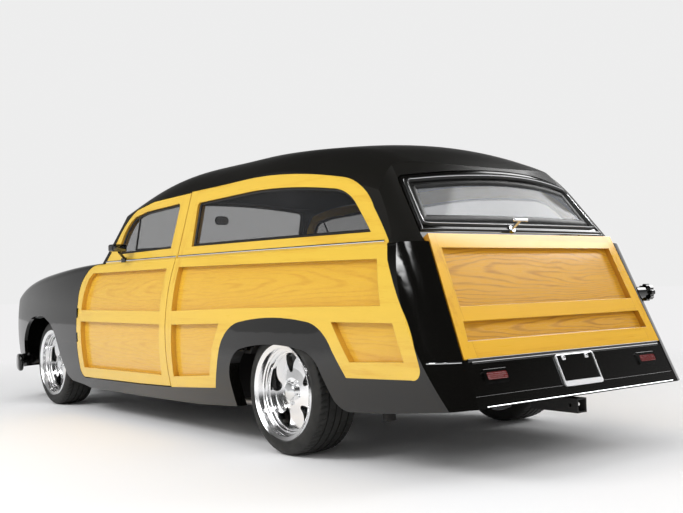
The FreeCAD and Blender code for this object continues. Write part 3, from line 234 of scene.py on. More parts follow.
# The exhaust: two bent steel pipes with flat welded silencers under the floor, dulled and browned
# by heat.
heat_steel, shader, place = material("heat_dulled_steel", Metallic=1.0)
stain = place.noise(14.0, 5.0, 0.6)
feed(shader, Base_Color=stain.ramp((0.3, (0.30, 0.27, 0.24)), (0.7, (0.50, 0.49, 0.47))),
     Roughness=0.28 + stain * 0.3, Normal=place.noise(200.0, 2.0).bump(0.0003, 0.3))
dress(heat_steel, "exhaust")

# The ash frames of the sides: straight-grained yellow boards under thick varnish. Rails run along
# the car and posts upright, so the grain turns where they meet. The cut edges and the recess walls
# are darker, partly from the end grain and partly as painted shade in the recesses. The doors' hinge
# knuckles belong to the same solids, and are coloured near-black as painted shade in the shut line.
joint_x = {joint["name"]: joint["pos_m"][0] for joint in frame["joints"]}
REAR_AXLE, FRONT_AXLE = joint_x["roll_rear_left"], joint_x["roll_front_left"]
SHUT_LINE, HINGE_LINE = 1.060 + REAR_AXLE, 2.298 + REAR_AXLE
SIDE_POSTS = [
    (0.985 + REAR_AXLE, SHUT_LINE), (SHUT_LINE, 1.145 + REAR_AXLE), (2.215 + REAR_AXLE, 2.33 + REAR_AXLE),
]
LOW_HINGE, HIGH_HINGE, HINGE_HALF, KNUCKLE_RADIUS, KNUCKLES_OUTSIDE = 0.5, 0.66, 0.031, 0.0086, 0.9
BOARD_JOINT_HALF, EDGE_ROUNDING = 0.0009, 0.004
ALONG_FLOW = {"x": (0.9, 22, 22), "y": (22, 0.9, 22), "z": (22, 22, 0.9)}
ALONG_PORES = {"x": (6, 260, 260), "y": (260, 6, 260), "z": (260, 260, 6)}


def boards(name, light, deep, edge, posts, rail="x"):
    """Varnished boards. Posts are the stretches along the rails where the grain stands upright. Edge is the
    colour of the dark board joints, and of the painted shade on the cut edges and recess walls.
    """
    made, shader, place = material(name, Roughness=0.30, Coat_Weight=0.7, Coat_Roughness=0.05,
                                   Specular_IOR_Level=0.3)
    x, y, z = place.axes()
    along = {"x": x, "y": y}[rail]
    mask, seams = None, None
    for low, high in posts:
        inside = (along > low) * (along < high)
        mask = inside if mask is None else mask + inside
        for end in (low, high):
            seam = (along - end).absolute() < BOARD_JOINT_HALF
            seams = seam if seams is None else seams + seam
    grain = (place.stretch(*ALONG_FLOW[rail]).noise(1.0, 3.0, 0.55) * (1 - mask)
             + place.stretch(*ALONG_FLOW["z"]).noise(1.0, 3.0, 0.55) * mask)
    pores = (place.stretch(*ALONG_PORES[rail]).noise(1.0, 2.0, 0.5) * (1 - mask)
             + place.stretch(*ALONG_PORES["z"]).noise(1.0, 2.0, 0.5) * mask)
    lines = grain * 0.75 + pores * 0.25
    colour = lines.ramp((0.32, deep), (0.47, light), (0.72, [c * 1.05 for c in light]))
    patch = place.noise(2.2, 2.0).blur(0.35, 0.7)
    colour = (patch * 0.3).between(colour, (*[a * 0.6 + b * 0.4 for a, b in zip(light, deep)], 1))
    colour = (seams * 0.5).between(colour, (*edge, 1))
    # Faces turned across the car, the cut edges and the recess walls, take the edge colour: partly the darker
    # end grain, partly painted shade in the recesses.
    facing = place.add("NewGeometry", {}, {}, "True Normal").axes()
    sideways = facing[1] if rail == "x" else facing[0]
    cut_edge_and_recess_shade = (1 - sideways.absolute()).blur(0.45, 0.85)
    colour = (cut_edge_and_recess_shade * 0.75).between(colour, (*edge, 1))
    # The hinge knuckles are coloured near-black as painted shade in the shut line.
    if rail == "x":
        height = (z - LOW_HINGE).absolute().least((z - HIGH_HINGE).absolute()) < HINGE_HALF
        knuckle_painted_shade = ((x - HINGE_LINE).absolute() < KNUCKLE_RADIUS) * (y.absolute() > KNUCKLES_OUTSIDE) * height
        colour = knuckle_painted_shade.between(colour, (0.006, 0.006, 0.005, 1))
    rounded_edges = place.add("Bevel", {"samples": 4}, {"Radius": EDGE_ROUNDING})
    feed(shader, Base_Color=colour, Roughness=0.24 + pores * 0.12,
         Normal=(pores * 0.25 + place.noise(7.0, 2.0) * 0.75).bump(0.0005, 0.22, rounded_edges))
    return made


ash = boards("ash_frames", (0.79, 0.520, 0.060), (0.71, 0.40, 0.034), (0.60, 0.29, 0.028), SIDE_POSTS)
dress(ash, "quarter_frames", "door_left_frame", "door_right_frame")

# The panels of the sides: sheets of flat-sawn birch and ash set back in the frames. The rings of
# the tree leave long pointed arches along the car.


def veneer(name, light, deep, rail, centres, step, ring, contrast):
    """Flat-sawn veneer with pointed arches of rings along its rails.

    Centres are the heights of the arches' middles in the lower and the upper row of panels, step is
    the height between the rows, and ring is the number of rings to a metre.
    """
    made, shader, place = material(name, Roughness=0.30, Coat_Weight=0.6, Coat_Roughness=0.06,
                                   Specular_IOR_Level=0.35)
    x, y, z = place.axes()
    along = {"x": x, "y": y}[rail]
    wander = place.stretch(*{"x": (1.1, 1, 6), "y": (1, 1.1, 6)}[rail]).noise(1.0, 3.0, 0.5) - 0.5
    low, high = centres
    from_middle = (z - low) * (z < step) + (z - high) * (z > step)
    across = from_middle + wander * 0.16
    taper = along * 0.055 + 0.03
    depth = (across * across + taper * taper).root()
    rings = (depth * ring * math.tau + wander * 6.0).sine()
    late = rings.blur(0.1, 1.0)
    pores = place.stretch(*{"x": (5, 200, 330), "y": (200, 5, 330)}[rail]).noise(1.0, 2.0, 0.6)
    fleck = place.stretch(*{"x": (3.2, 1, 40), "y": (1, 3.2, 40)}[rail]).noise(1.0, 4.0, 0.6)
    lines = late * contrast + pores.blur(0.42, 0.75) * 0.35 + fleck.blur(0.45, 0.75) * 0.3
    colour = lines.ramp((0.0, light), (0.45, [a * 0.72 + b * 0.28 for a, b in zip(light, deep)]), (1.0, deep))
    patch = place.noise(3.1, 2.0).blur(0.3, 0.75)
    colour = (patch * 0.3).between(colour, (*[a * 0.6 + b * 0.4 for a, b in zip(light, deep)], 1))
    feed(shader, Base_Color=colour, Roughness=0.26 + lines * 0.12,
         Normal=(lines * 0.5 + place.noise(9.0, 2.0) * 0.5).bump(0.0004, 0.25))
    return made


birch = veneer("birch_panels", (0.77, 0.460, 0.046), (0.60, 0.30, 0.024), "x", (0.47, 0.80), 0.64, 66.0,
               0.50)
dress(birch, "quarter_panels", "door_left_panels", "door_right_panels")

# The tailgate: the same frame and panels across the tail, in older and redder wood whose open
# grain shows through the varnish.
TAILGATE_POSTS = [(-0.70, -0.600), (0.600, 0.70)]
amber = boards("tailgate_frame_wood", (0.76, 0.42, 0.022), (0.63, 0.30, 0.012), (0.40, 0.15, 0.009),
               TAILGATE_POSTS, "y")
dress(amber, "tailgate_frame")
amber_sheet = veneer("tailgate_panel_wood", (0.70, 0.36, 0.022), (0.36, 0.15, 0.009), "y", (0.60, 0.83),
                     0.67, 72.0, 0.62)
dress(amber_sheet, "tailgate_panels")

# The window glass: smoked sheets in the doors and sides, and clearer ones in the liftgate and the
# windscreen, each bent to the skin round it.
smoked, shader, place = material("smoked_glass", Base_Color=(0.034, 0.035, 0.037, 1), Alpha=0.36,
                                 Specular_IOR_Level=0.5)
feed(shader, Roughness=0.015 + place.noise(20.0, 3.0) * 0.02)
dress(smoked, "door_left_glass", "door_right_glass", "quarter_glass")
clear_glass, shader, place = material("clear_glass", Base_Color=(0.62, 0.64, 0.67, 1), Alpha=0.20,
                                      Specular_IOR_Level=0.6)
feed(shader, Roughness=0.015 + place.noise(20.0, 3.0) * 0.02)
dress(clear_glass, "windscreen", "liftgate_glass")

# The trim of the sides: a chromed strip under the windows, a rubber channel round every pane and a
# thin bar behind each vent window. The grille and the T-handle are plated like the strip.
HALF_ROUND = [(-1.0, -0.4), (-1.0, 0.2), (-0.7, 0.75), (0.0, 1.0), (0.7, 0.75), (1.0, 0.2), (1.0, -0.4)]
chrome, shader, place = material("chrome_plate", Base_Color=(0.80, 0.81, 0.82, 1), Metallic=1.0)
feed(shader, Roughness=0.05 + place.noise(30.0, 3.0) * 0.05)
dress(chrome, "grille", "liftgate_handle")
seal, shader, place = material("window_rubber", Specular_IOR_Level=0.4)
bloom = place.noise(25.0, 3.0).ramp((0.3, (0.008, 0.008, 0.008)), (0.8, (0.018, 0.018, 0.017)))
feed(shader, Base_Color=bloom, Roughness=0.34 + place.noise(60.0, 3.0) * 0.2,
     Normal=place.noise(250.0, 2.0).bump(0.0003, 0.2))


def piece(name, shape, made, body, angle=30):
    """A finished mesh in its place on the car, riding on a body."""
    bmesh.ops.recalc_face_normals(shape, faces=shape.faces)
    mesh = bpy.data.meshes.new(name)
    shape.to_mesh(mesh)
    shape.free()
    mesh.materials.append(made)
    mesh.shade_smooth()
    mesh.set_sharp_from_angle(angle=math.radians(angle))
    part = bpy.data.objects.new(name, mesh)
    bpy.context.scene.collection.objects.link(part)
    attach(part, body)
    return part


def loft(shape, rings, closed=False):
    """Joins rings of vertices into a skin, with its ends joined to each other or covered."""
    count = len(rings[0])
    for first, second in zip(rings, rings[1:] + rings[:1] if closed else rings[1:]):
        for i in range(count):
            j = (i + 1) % count
            shape.faces.new((first[i], first[j], second[j], second[i]))
    if not closed:
        shape.faces.new(rings[0])
        shape.faces.new(rings[-1])


def strip(name, line, half, high, made, body, closed=False):
    """A half-round moulding along a line of places and the directions that face out there."""
    shape = bmesh.new()
    rings = []
    for i, (point, out) in enumerate(line):
        before = line[i - 1][0] if closed or i else point
        after = line[(i + 1) % len(line)][0] if closed or i < len(line) - 1 else point
        side = (after - before).cross(out).normalized()
        rings.append([shape.verts.new(point + side * half * a + out * high * b) for a, b in HALF_ROUND])
    loft(shape, rings, closed)
    return piece(name, shape, made, body, 50)


def trace(pattern, inward=0.0, step=25.0):
    """Points along a closed pattern of lines and arcs, in millimetres, moved inward by a distance.

    A pair of points in the pattern is the middle and the end of an arc.
    """
    points, last = [], pattern[-1][1] if isinstance(pattern[-1][0], tuple) else pattern[-1]
    for item in pattern:
        if isinstance(item[0], tuple):
            (mx, my), (ex, ey) = item
            sx, sy = last
            divisor = 2 * (sx * (my - ey) + mx * (ey - sy) + ex * (sy - my))
            s2, m2, e2 = sx * sx + sy * sy, mx * mx + my * my, ex * ex + ey * ey
            cx = (s2 * (my - ey) + m2 * (ey - sy) + e2 * (sy - my)) / divisor
            cy = (s2 * (ex - mx) + m2 * (sx - ex) + e2 * (mx - sx)) / divisor
            a0, am, a1 = (math.atan2(v - cy, u - cx) for u, v in (last, (mx, my), (ex, ey)))
            span, half_way = (a1 - a0) % math.tau, (am - a0) % math.tau
            if half_way > span:
                span -= math.tau
            radius = math.dist(last, (cx, cy))
            count = max(4, round(abs(span) * radius / step))
            for i in range(1, count + 1):
                turn = a0 + span * i / count
                points.append((cx + radius * math.cos(turn), cy + radius * math.sin(turn)))
            last = item[1]
        else:
            count = max(1, round(math.dist(last, item) / step))
            points += [(last[0] + (item[0] - last[0]) * i / count, last[1] + (item[1] - last[1]) * i / count)
                       for i in range(1, count + 1)]
            last = item
    area = sum(a[0] * b[1] - a[1] * b[0] for a, b in zip(points, points[1:] + points[:1]))
    moved = []
    for i, (u, v) in enumerate(points):
        (u0, v0), (u1, v1) = points[i - 1], points[(i + 1) % len(points)]
        long = math.hypot(u1 - u0, v1 - v0) * math.copysign(1, area)
        moved.append((u - inward * (v1 - v0) / long, v + inward * (u1 - u0) / long))
    return moved


def skin(*names):
    """The surface of CAD nodes, to lay trim on."""
    corners, faces = [], []
    for name in names:
        base = len(corners)
        corners += [v.co.copy() for v in node[name].data.vertices]
        faces += [[base + i for i in face.vertices] for face in node[name].data.polygons]
    return BVHTree.FromPolygons(corners, faces)


# Where a drawing of the car is seen from: where its points start, outside the car, and the way in.
BESIDE, BEYOND = 2.0, 4.0
VIEWS = {
    "left": (lambda x, z: (x + REAR_AXLE, BESIDE, z), (0, -1, 0)),
    "right": (lambda x, z: (x + REAR_AXLE, -BESIDE, z), (0, 1, 0)),
    "behind": (lambda y, z: (-BEYOND, y, z), (1, 0, 0)),
    "ahead": (lambda y, z: (BEYOND, y, z), (-1, 0, 0)),
}


def lay(points, surface, view):
    """Points of a drawing, in millimetres, dropped on the skin. Each comes with the way out there."""
    start, inward = VIEWS[view]
    line = []
    for u, v in points:
        hit, out, _, _ = surface.ray_cast(Vector(start(u / 1000, v / 1000)), Vector(inward))
        if hit:
            line.append((hit, out if out.dot(Vector(inward)) < 0 else -out))
    return line


BELT_Z, BELT_HALF, BELT_HIGH = 988, 0.0055, 0.005
DOOR_BELT = [(x, BELT_Z) for x in range(1075, 2036, 24)]
QUARTER_BELT = [(x, BELT_Z) for x in range(-668, 1050, 26)]
DOOR_PANE = [
    (1165, 1038), (1844, 1030), ((1868, 1060), (1866, 1105)), ((1826, 1205), (1736, 1262)), (1596, 1284),
    (1205, 1300), ((1176, 1296), (1166, 1270)),
]
QUARTER_PANE = [
    (925, 1037), (956, 1262), ((950, 1280), (930, 1286)), (423, 1300), ((80, 1290), (-244, 1256)),
    ((-345, 1230), (-418, 1182)), (-566, 1032),
]
CHANNEL_IN = 6
VENT_BAR = [(1648 + 6.5 * i, 1024 + 25.2 * i) for i in range(10)]
for side in ("left", "right"):
    door = f"door_{side}"
    belt = lay(DOOR_BELT, skin(f"{door}_frame"), side)
    strip(f"{door}_belt_strip", belt, BELT_HALF, BELT_HIGH, chrome, door)
    belt = lay(QUARTER_BELT, skin("quarter_frames"), side)
    strip(f"quarter_{side}_belt_strip", belt, BELT_HALF, BELT_HIGH, chrome, "root")
    door_glass = skin(f"{door}_glass")
    channel = lay(trace(DOOR_PANE, CHANNEL_IN), door_glass, side)
    strip(f"{door}_pane_channel", channel, 0.008, 0.007, seal, door, True)
    channel = lay(trace(QUARTER_PANE, CHANNEL_IN), skin("quarter_glass"), side)
    strip(f"quarter_{side}_pane_channel", channel, 0.009, 0.008, seal, "root", True)
    strip(f"{door}_vent_bar", lay(VENT_BAR, door_glass, side), 0.0050, 0.008, seal, door)

# The liftgate's surround: a rolled bead round the steel, and a thick rubber that holds the glass
# with a bright bead pressed into it. A flat rubber border covers the edge of the pane.
GATE_EDGE = [
    (634, 1024), (576, 1262), ((562, 1284), (535, 1290)), ((0, 1324), (-535, 1290)),
    ((-562, 1284), (-576, 1262)), (-634, 1024),
]
GATE_PANE = [
    (586, 1068), (548, 1238), ((538, 1255), (515, 1260)), ((0, 1290), (-515, 1260)),
    ((-538, 1255), (-548, 1238)), (-586, 1068),
]
GATE_BEAD_IN, GATE_RUBBER_OUT, PANE_BORDER_IN = 11, 9, 19
BRIGHT_BEAD_LIFT = 0.0085


def lifted(line, height):
    """The same line, this far off the skin."""
    return [(point + out * height, out) for point, out in line]


gate = skin("liftgate_frame")
strip("liftgate_rolled_edge", lay(trace(GATE_EDGE, GATE_BEAD_IN), gate, "behind"), 0.008, 0.007, lacquer,
      "liftgate", True)
rubber_line = lay(trace(GATE_PANE, -GATE_RUBBER_OUT), gate, "behind")
strip("liftgate_rubber", rubber_line, 0.011, 0.011, seal, "liftgate", True)
border_line = lay(trace(GATE_PANE, PANE_BORDER_IN), skin("liftgate_glass"), "behind")
strip("liftgate_inner_rubber", border_line, 0.019, 0.006, seal, "liftgate", True)
bead_line = lifted(rubber_line, BRIGHT_BEAD_LIFT)
strip("liftgate_bright_bead", bead_line, 0.0022, 0.004, chrome, "liftgate", True)

# The windscreen: one curved pane in a thick black rubber that is pressed over the edge of the steel
# all round it.
SCREEN_PANE = [
    ((0, 1062), (735, 1030)), (650, 1312), ((625, 1338), (590, 1348)), ((0, 1385), (-590, 1348)),
    ((-625, 1338), (-650, 1312)), (-735, 1030),
]
SCREEN_RUBBER_IN = 9
screen = skin("windscreen")
strip("windscreen_rubber", lay(trace(SCREEN_PANE, SCREEN_RUBBER_IN), screen, "ahead"), 0.012, 0.012, seal,
      "root", True)

# The rear pan's fittings: rolled lips along its edges, with a bright spear round the tail post, and
# a bare plate in a thin bright frame that is thick at its foot and hangs from two bolts.
PAN_LOW_Z, PAN_HIGH_Z, SPEAR_Z = 304, 475, 481
pan, pan_run = skin("rear_pan"), range(-655, 656, 24)
strip("pan_lower_lip", lay([(y, PAN_LOW_Z) for y in pan_run], pan, "behind"), 0.0022, 0.0010, chrome, "root")
strip("pan_upper_lip", lay([(y, PAN_HIGH_Z) for y in pan_run], pan, "behind"), 0.006, 0.005, lacquer, "root")
spear = lay([(y, SPEAR_Z) for y in range(694, 822, 8)], skin("side_steel"), "behind")
strip("pan_corner_spear", spear, 0.0042, 0.003, chrome, "root")
PLATE_MIDDLE = Vector((-1.0714 + REAR_AXLE, 0, 0.405))
PLATE_UP, PLATE_OUT = Vector((0.45, 0, 1)).normalized(), Vector((-1, 0, 0.45)).normalized()
BOLT_Y, BOLT_V, TAB_HALF = (-0.080, 0.080), 0.056, 0.011


def corners(y0, y1, v0, v1, radius):
    """Rectangle with round corners, five points to a corner."""
    loop = []
    for cy, cv, start in ((y1 - radius, v1 - radius, 0), (y0 + radius, v1 - radius, 90),
                          (y0 + radius, v0 + radius, 180), (y1 - radius, v0 + radius, 270)):
        for i in range(5):
            turn = math.radians(start + 22.5 * i)
            loop.append((cy + radius * math.cos(turn), cv + radius * math.sin(turn)))
    return loop


def on_plate(shape, loop, out):
    """A ring of vertices in the plane of the plate, this far out of it."""
    return [shape.verts.new(PLATE_MIDDLE + Vector((0, y, 0)) + PLATE_UP * v + PLATE_OUT * out)
            for y, v in loop]


shape = bmesh.new()
blank = corners(-0.127, 0.127, -0.067, 0.069, 0.010)
loft(shape, [on_plate(shape, blank, 0.004), on_plate(shape, blank, 0.006)])
piece("plate_blank", shape, lacquer, "root")
brushed, shader, place = material("brushed_bright_steel", Base_Color=(0.86, 0.86, 0.87, 1), Metallic=0.75)
feed(shader, Roughness=0.42 + place.stretch(1, 1, 40).noise(12.0, 3.0) * 0.15)
shape = bmesh.new()
outer = corners(-0.132, 0.132, -0.074, 0.074, 0.012)
inner = corners(-0.126, 0.126, -0.050, 0.068, 0.006)
loft(shape, [on_plate(shape, outer, 0.002), on_plate(shape, outer, 0.009), on_plate(shape, inner, 0.010),
             on_plate(shape, inner, 0.0055)], True)
for y in BOLT_Y:
    tab = corners(y - TAB_HALF, y + TAB_HALF, 0.046, 0.069, 0.004)
    loft(shape, [on_plate(shape, tab, 0.0055), on_plate(shape, tab, 0.0085)])
piece("plate_frame", shape, brushed, "root")


def turned(name, profile, middle, axis, made, body, turns=48):
    """A piece turned on a lathe: the profile gives places along the axis and their radius."""
    along = Vector(axis).normalized()
    first = along.orthogonal().normalized()
    second = along.cross(first)
    shape = bmesh.new()
    rings = []
    for step in range(turns):
        turn = math.tau * step / turns
        spoke = first * math.cos(turn) + second * math.sin(turn)
        rings.append([shape.verts.new(Vector(middle) + along * a + spoke * r) for a, r in profile])
    loft(shape, rings, True)
    return piece(name, shape, made, body)


PLATE_BOLT = [(0.0, 0.0002), (0.0, 0.0062), (0.003, 0.006), (0.0042, 0.0045), (0.0045, 0.0002)]
for n, y in enumerate(BOLT_Y):
    middle = PLATE_MIDDLE + Vector((0, y, 0)) + PLATE_UP * BOLT_V + PLATE_OUT * 0.0083
    turned(f"plate_bolt_{n}", PLATE_BOLT, middle, PLATE_OUT, chrome, "root", 6)

# The lamps: clear domes in bright rings in front, and two red lenses let into bezels behind. The
# red ones are moulded with a fine grid that scatters the light.
SIDES = (("left", 1), ("right", -1))
HEADLAMP_X, HEADLAMP_Y, HEADLAMP_Z = 0.660 + FRONT_AXLE, 0.690, 0.690
LENS_DOME = [(0.086, 0.0003), (0.086, 0.083), (0.092, 0.072), (0.097, 0.045), (0.099, 0.0003)]
LAMP_RING = [(0.070, 0.0835), (0.090, 0.0835), (0.0935, 0.087), (0.090, 0.0912), (0.070, 0.0912)]
clear, shader, place = material("clear_lens", Base_Color=(0.75, 0.77, 0.78, 1), Alpha=0.75, Coat_Weight=1.0)
feed(shader, Roughness=0.08 + place.noise(90.0, 2.0) * 0.1, Normal=place.noise(60.0, 2.0).bump(0.001, 0.4))
dress(clear, "headlamps")
red, shader, place = material("red_lens", Base_Color=(0.11, 0.0035, 0.0035, 1), Coat_Weight=0.3)
_, y, z = place.axes()
prism = (y * 900.0).sine() * 0.5 + (z * 900.0).sine() * 0.5
feed(shader, Roughness=0.12 + place.noise(90.0, 2.0) * 0.15, Normal=prism.bump(0.0006, 0.5))
dress(red, "tail_lamps")
for side, sign in SIDES:
    middle = (HEADLAMP_X, HEADLAMP_Y * sign, HEADLAMP_Z)
    turned(f"headlamp_dome_{side}", LENS_DOME, middle, (1, 0, 0), clear, "root", 64)
    turned(f"headlamp_ring_{side}", LAMP_RING, middle, (1, 0, 0), chrome, "root", 64)

# The front bumper's ends: the pressed blade is closed by a rounded cap on each side, in the same
# lacquer. Each ring of a cap has its place along and across the car and its two half sizes.
BLADE_Z, CAP_POINTS, CAP_FULLNESS = 0.276, 28, 0.7
CAP_RINGS = [
    (2.236, 0.8615, 0.0135, 0.0505), (2.225, 0.8645, 0.0185, 0.0600), (2.170, 0.8770, 0.0220, 0.0640),
    (2.110, 0.8895, 0.0225, 0.0640), (2.075, 0.8960, 0.0190, 0.0580), (2.056, 0.8985, 0.0120, 0.0420),
    (2.048, 0.8995, 0.0030, 0.0160),
]
for side, sign in SIDES:
    shape = bmesh.new()
    rings = []
    for x, y, half_deep, half_high in CAP_RINGS:
        ring = []
        for i in range(CAP_POINTS):
            turn = math.tau * i / CAP_POINTS
            across, upward = (math.copysign(abs(part) ** CAP_FULLNESS, part)
                              for part in (math.cos(turn), math.sin(turn)))
            ring.append(shape.verts.new((x, sign * (y + half_deep * across), BLADE_Z + half_high * upward)))
        rings.append(ring)
    loft(shape, rings)
    piece(f"bumper_cap_{side}", shape, lacquer, "root", 60)

# The exhaust tips: short dark sleeves over the turned-down pipe ends, blackened with soot, and the
# bore that shows in the mouth of each.
SLEEVE = [(0.0, 0.0235), (0.0, 0.0285), (0.052, 0.0285), (0.052, 0.0235)]
BORE = [(-0.0004, 0.0002), (-0.0004, 0.0230), (0.001, 0.0230), (0.001, 0.0002)]
TIP_X, TIP_Y, TIP_Z, TIP_LEAN = -0.598 + REAR_AXLE, 0.700, 0.2055, (0.21, 0, 1)
soot, shader, place = material("exhaust_soot", Metallic=0.3)
grime = place.noise(80.0, 4.0).ramp((0.3, (0.010, 0.009, 0.009)), (0.8, (0.030, 0.028, 0.026)))
feed(shader, Base_Color=grime, Roughness=0.55 + place.noise(60.0, 3.0) * 0.3)
for side, sign in SIDES:
    tip = (TIP_X, TIP_Y * sign, TIP_Z)
    turned(f"exhaust_sleeve_{side}", SLEEVE, tip, TIP_LEAN, soot, "root", 32)
    turned(f"exhaust_bore_{side}", BORE, tip, TIP_LEAN, soot, "root", 32)

# The wheels: cast and polished aluminium rims, turned on a lathe, with black rubber round them. The
# tread has grooves round it, sipes beside them and slanted cuts over its shoulders.
AXLE_HEIGHT, TYRE_MIDDLE = 0.3, 0.741
REAR_TYRE, FRONT_TYRE = (0.235, 0.242), (0.205, 0.214)
TYRE_RADIUS, BEAD_RADIUS, RIM_RADIUS = 0.2998, 0.216, 0.237
GROOVES, GROOVE_HALF, GROOVE_DEEP, CUT_DEEP, SIPE_DEEP = (0.018, 0.060), 0.0045, 0.0065, 0.0055, 0.003
TYRE_STEPS, BLOCK_STEPS, CUT_LONG, SIPE_LONG, NOTCH_LONG = 360, 6, 1.6, 1.1, 2
CUTS_BEYOND, SIPES_FROM, SIPES_TO = 0.066, 0.024, 0.054
polish, shader, place = material("polished_rim", Base_Color=(0.93, 0.93, 0.935, 1), Metallic=1.0)
feed(shader, Roughness=0.10 + place.noise(45.0, 4.0) * 0.08,
     Normal=place.stretch(1, 260, 1).noise(1.0, 1.0).bump(0.0002, 0.15))
rubber, shader, place = material("tyre_rubber", Specular_IOR_Level=0.35)
worn = place.noise(18.0, 4.0).ramp((0.3, (0.012, 0.012, 0.011)), (0.8, (0.026, 0.025, 0.023)))
feed(shader, Base_Color=worn, Roughness=0.5 + place.noise(30.0, 3.0) * 0.25,
     Normal=place.noise(300.0, 3.0).bump(0.0004, 0.3))
for end in ("front", "rear"):
    for side in ("left", "right"):
        dress(polish, f"rim_{end}_{side}")


def tyre(end, side, sign, axle, widths):
    """A road tyre on its wheel. Widths are those of the tyre and of the rim."""
    half, seat = widths[0] / 2, widths[1] / 2 - 0.008
    crown = half - 0.022
    wall = [(seat, BEAD_RADIUS), (seat, RIM_RADIUS), (seat + 0.35 * (half - seat), 0.244),
            (half - 0.001, 0.252), (half, 0.260), (half - 0.004, 0.275), (half - 0.012, 0.2885)]
    across = {round(-crown + 2 * crown * i / 22, 5) for i in range(23)}
    for groove in GROOVES:
        for edge in (groove - 0.005, groove - 0.0042, groove + 0.0042, groove + 0.005):
            across |= {round(edge, 5), round(-edge, 5)}
    across = sorted(across)
    shape = bmesh.new()
    rings = []
    for step in range(TYRE_STEPS):
        tread = []
        for y in across:
            off = abs(y)
            phase = (step + 5.0 * (off / crown) ** 1.2) % BLOCK_STEPS
            in_groove = any(abs(off - groove) < GROOVE_HALF for groove in GROOVES)
            in_cut = phase < CUT_LONG and off > CUTS_BEYOND
            every_other = (step // BLOCK_STEPS) % 2 == 0
            in_sipe = phase < SIPE_LONG and SIPES_FROM < off < SIPES_TO and every_other
            deep = GROOVE_DEEP if in_groove else CUT_DEEP if in_cut else SIPE_DEEP if in_sipe else 0.0
            tread.append((y, TYRE_RADIUS - 0.0045 * (off / crown) ** 3.2 - deep))
        notch = 0.0025 if step % BLOCK_STEPS < NOTCH_LONG else 0.0
        outer = [*wall, (half - 0.016, 0.2925 - notch)]
        row = [(-y, r) for y, r in outer] + tread + [(y, r) for y, r in reversed(outer)]
        turn = math.tau * step / TYRE_STEPS
        rings.append([shape.verts.new((axle + r * math.sin(turn), sign * (TYRE_MIDDLE + y),
                                       AXLE_HEIGHT + r * math.cos(turn))) for y, r in row])
    loft(shape, rings, True)
    part = piece(f"{end}_tyre_{side}", shape, rubber, f"wheel_{end}_{side}", 35)
    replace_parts(part, f"tyre_{end}_{side}")


for side, sign in SIDES:
    tyre("rear", side, sign, REAR_AXLE, REAR_TYRE)
    tyre("front", side, sign, FRONT_AXLE, FRONT_TYRE)

# Each wheel's barrel goes in by turned steps. Its middle has a domed bright cap and five bolts
# round it, between the swept windows.
BARREL_STEPS = [
    (0.0200, 0.1995), (0.0185, 0.1928), (0.0175, 0.1920), (0.0045, 0.1903), (0.0030, 0.1895),
    (0.0020, 0.1848), (0.0010, 0.1840), (-0.0125, 0.1828), (-0.0132, 0.1985),
]
CAP_DOME = [(0.0150, 0.0003), (0.0150, 0.0435), (0.0185, 0.0415), (0.0225, 0.0320), (0.0250, 0.0003)]
WHEEL_BOLT = [(-0.001, 0.0003), (-0.001, 0.0092), (0.008, 0.0092), (0.0105, 0.0070), (0.011, 0.0003)]
FACE_DEPTH, BOLT_CIRCLE, BOLTS, FIRST_BOLT = 0.066, 0.057, 5, 38
for end, axle, lip in (("rear", REAR_AXLE, 0.862), ("front", FRONT_AXLE, 0.848)):
    for side, sign in SIDES:
        body, face_y, outward = f"wheel_{end}_{side}", (lip - FACE_DEPTH) * sign, (0, sign, 0)
        middle = (axle, face_y, AXLE_HEIGHT)
        turned(f"{end}_barrel_steps_{side}", BARREL_STEPS, middle, outward, polish, body, 96)
        turned(f"{end}_cap_{side}", CAP_DOME, middle, outward, chrome, body)
        for n in range(BOLTS):
            turn = math.radians(360 / BOLTS * n + FIRST_BOLT)
            middle = (axle - BOLT_CIRCLE * math.sin(turn) * sign, face_y,
                      AXLE_HEIGHT + BOLT_CIRCLE * math.cos(turn))
            turned(f"{end}_bolt_{side}_{n}", WHEEL_BOLT, middle, outward, chrome, body, 12)

# The cabin: two bench seats in brown leather, each a cushion and a back sewn in rolls, with a plain
# border, on a covered base. A painted dashboard and a slim steering wheel stand in front of them.
PAD_EDGE, CROWN, WAIST, ROLL_DEEP, SEAM_DEEP, SEAM_HALF = 0.032, 0.020, 0.006, 0.011, 0.006, 0.035
ROLLS_LONG, ROLLS_WIDE, SEAM_LONG, SEAM_WIDE = 0.80, 0.94, 0.83, 0.96
leather, shader, place = material("brown_leather", Roughness=0.45)
hide = place.noise(160.0, 4.0, 0.6)
feed(shader, Base_Color=place.noise(6.0, 4.0).ramp((0.3, (0.085, 0.048, 0.028)), (0.75, (0.14, 0.085, 0.05))),
     Roughness=0.38 + hide * 0.2, Normal=hide.bump(0.0008, 0.5))


def in_car(low, high):
    """Two corners in millimetres from the rear axle, as places in the car."""
    return [Vector((c[0] / 1000 + REAR_AXLE, c[1] / 1000, c[2] / 1000)) for c in (low, high)]


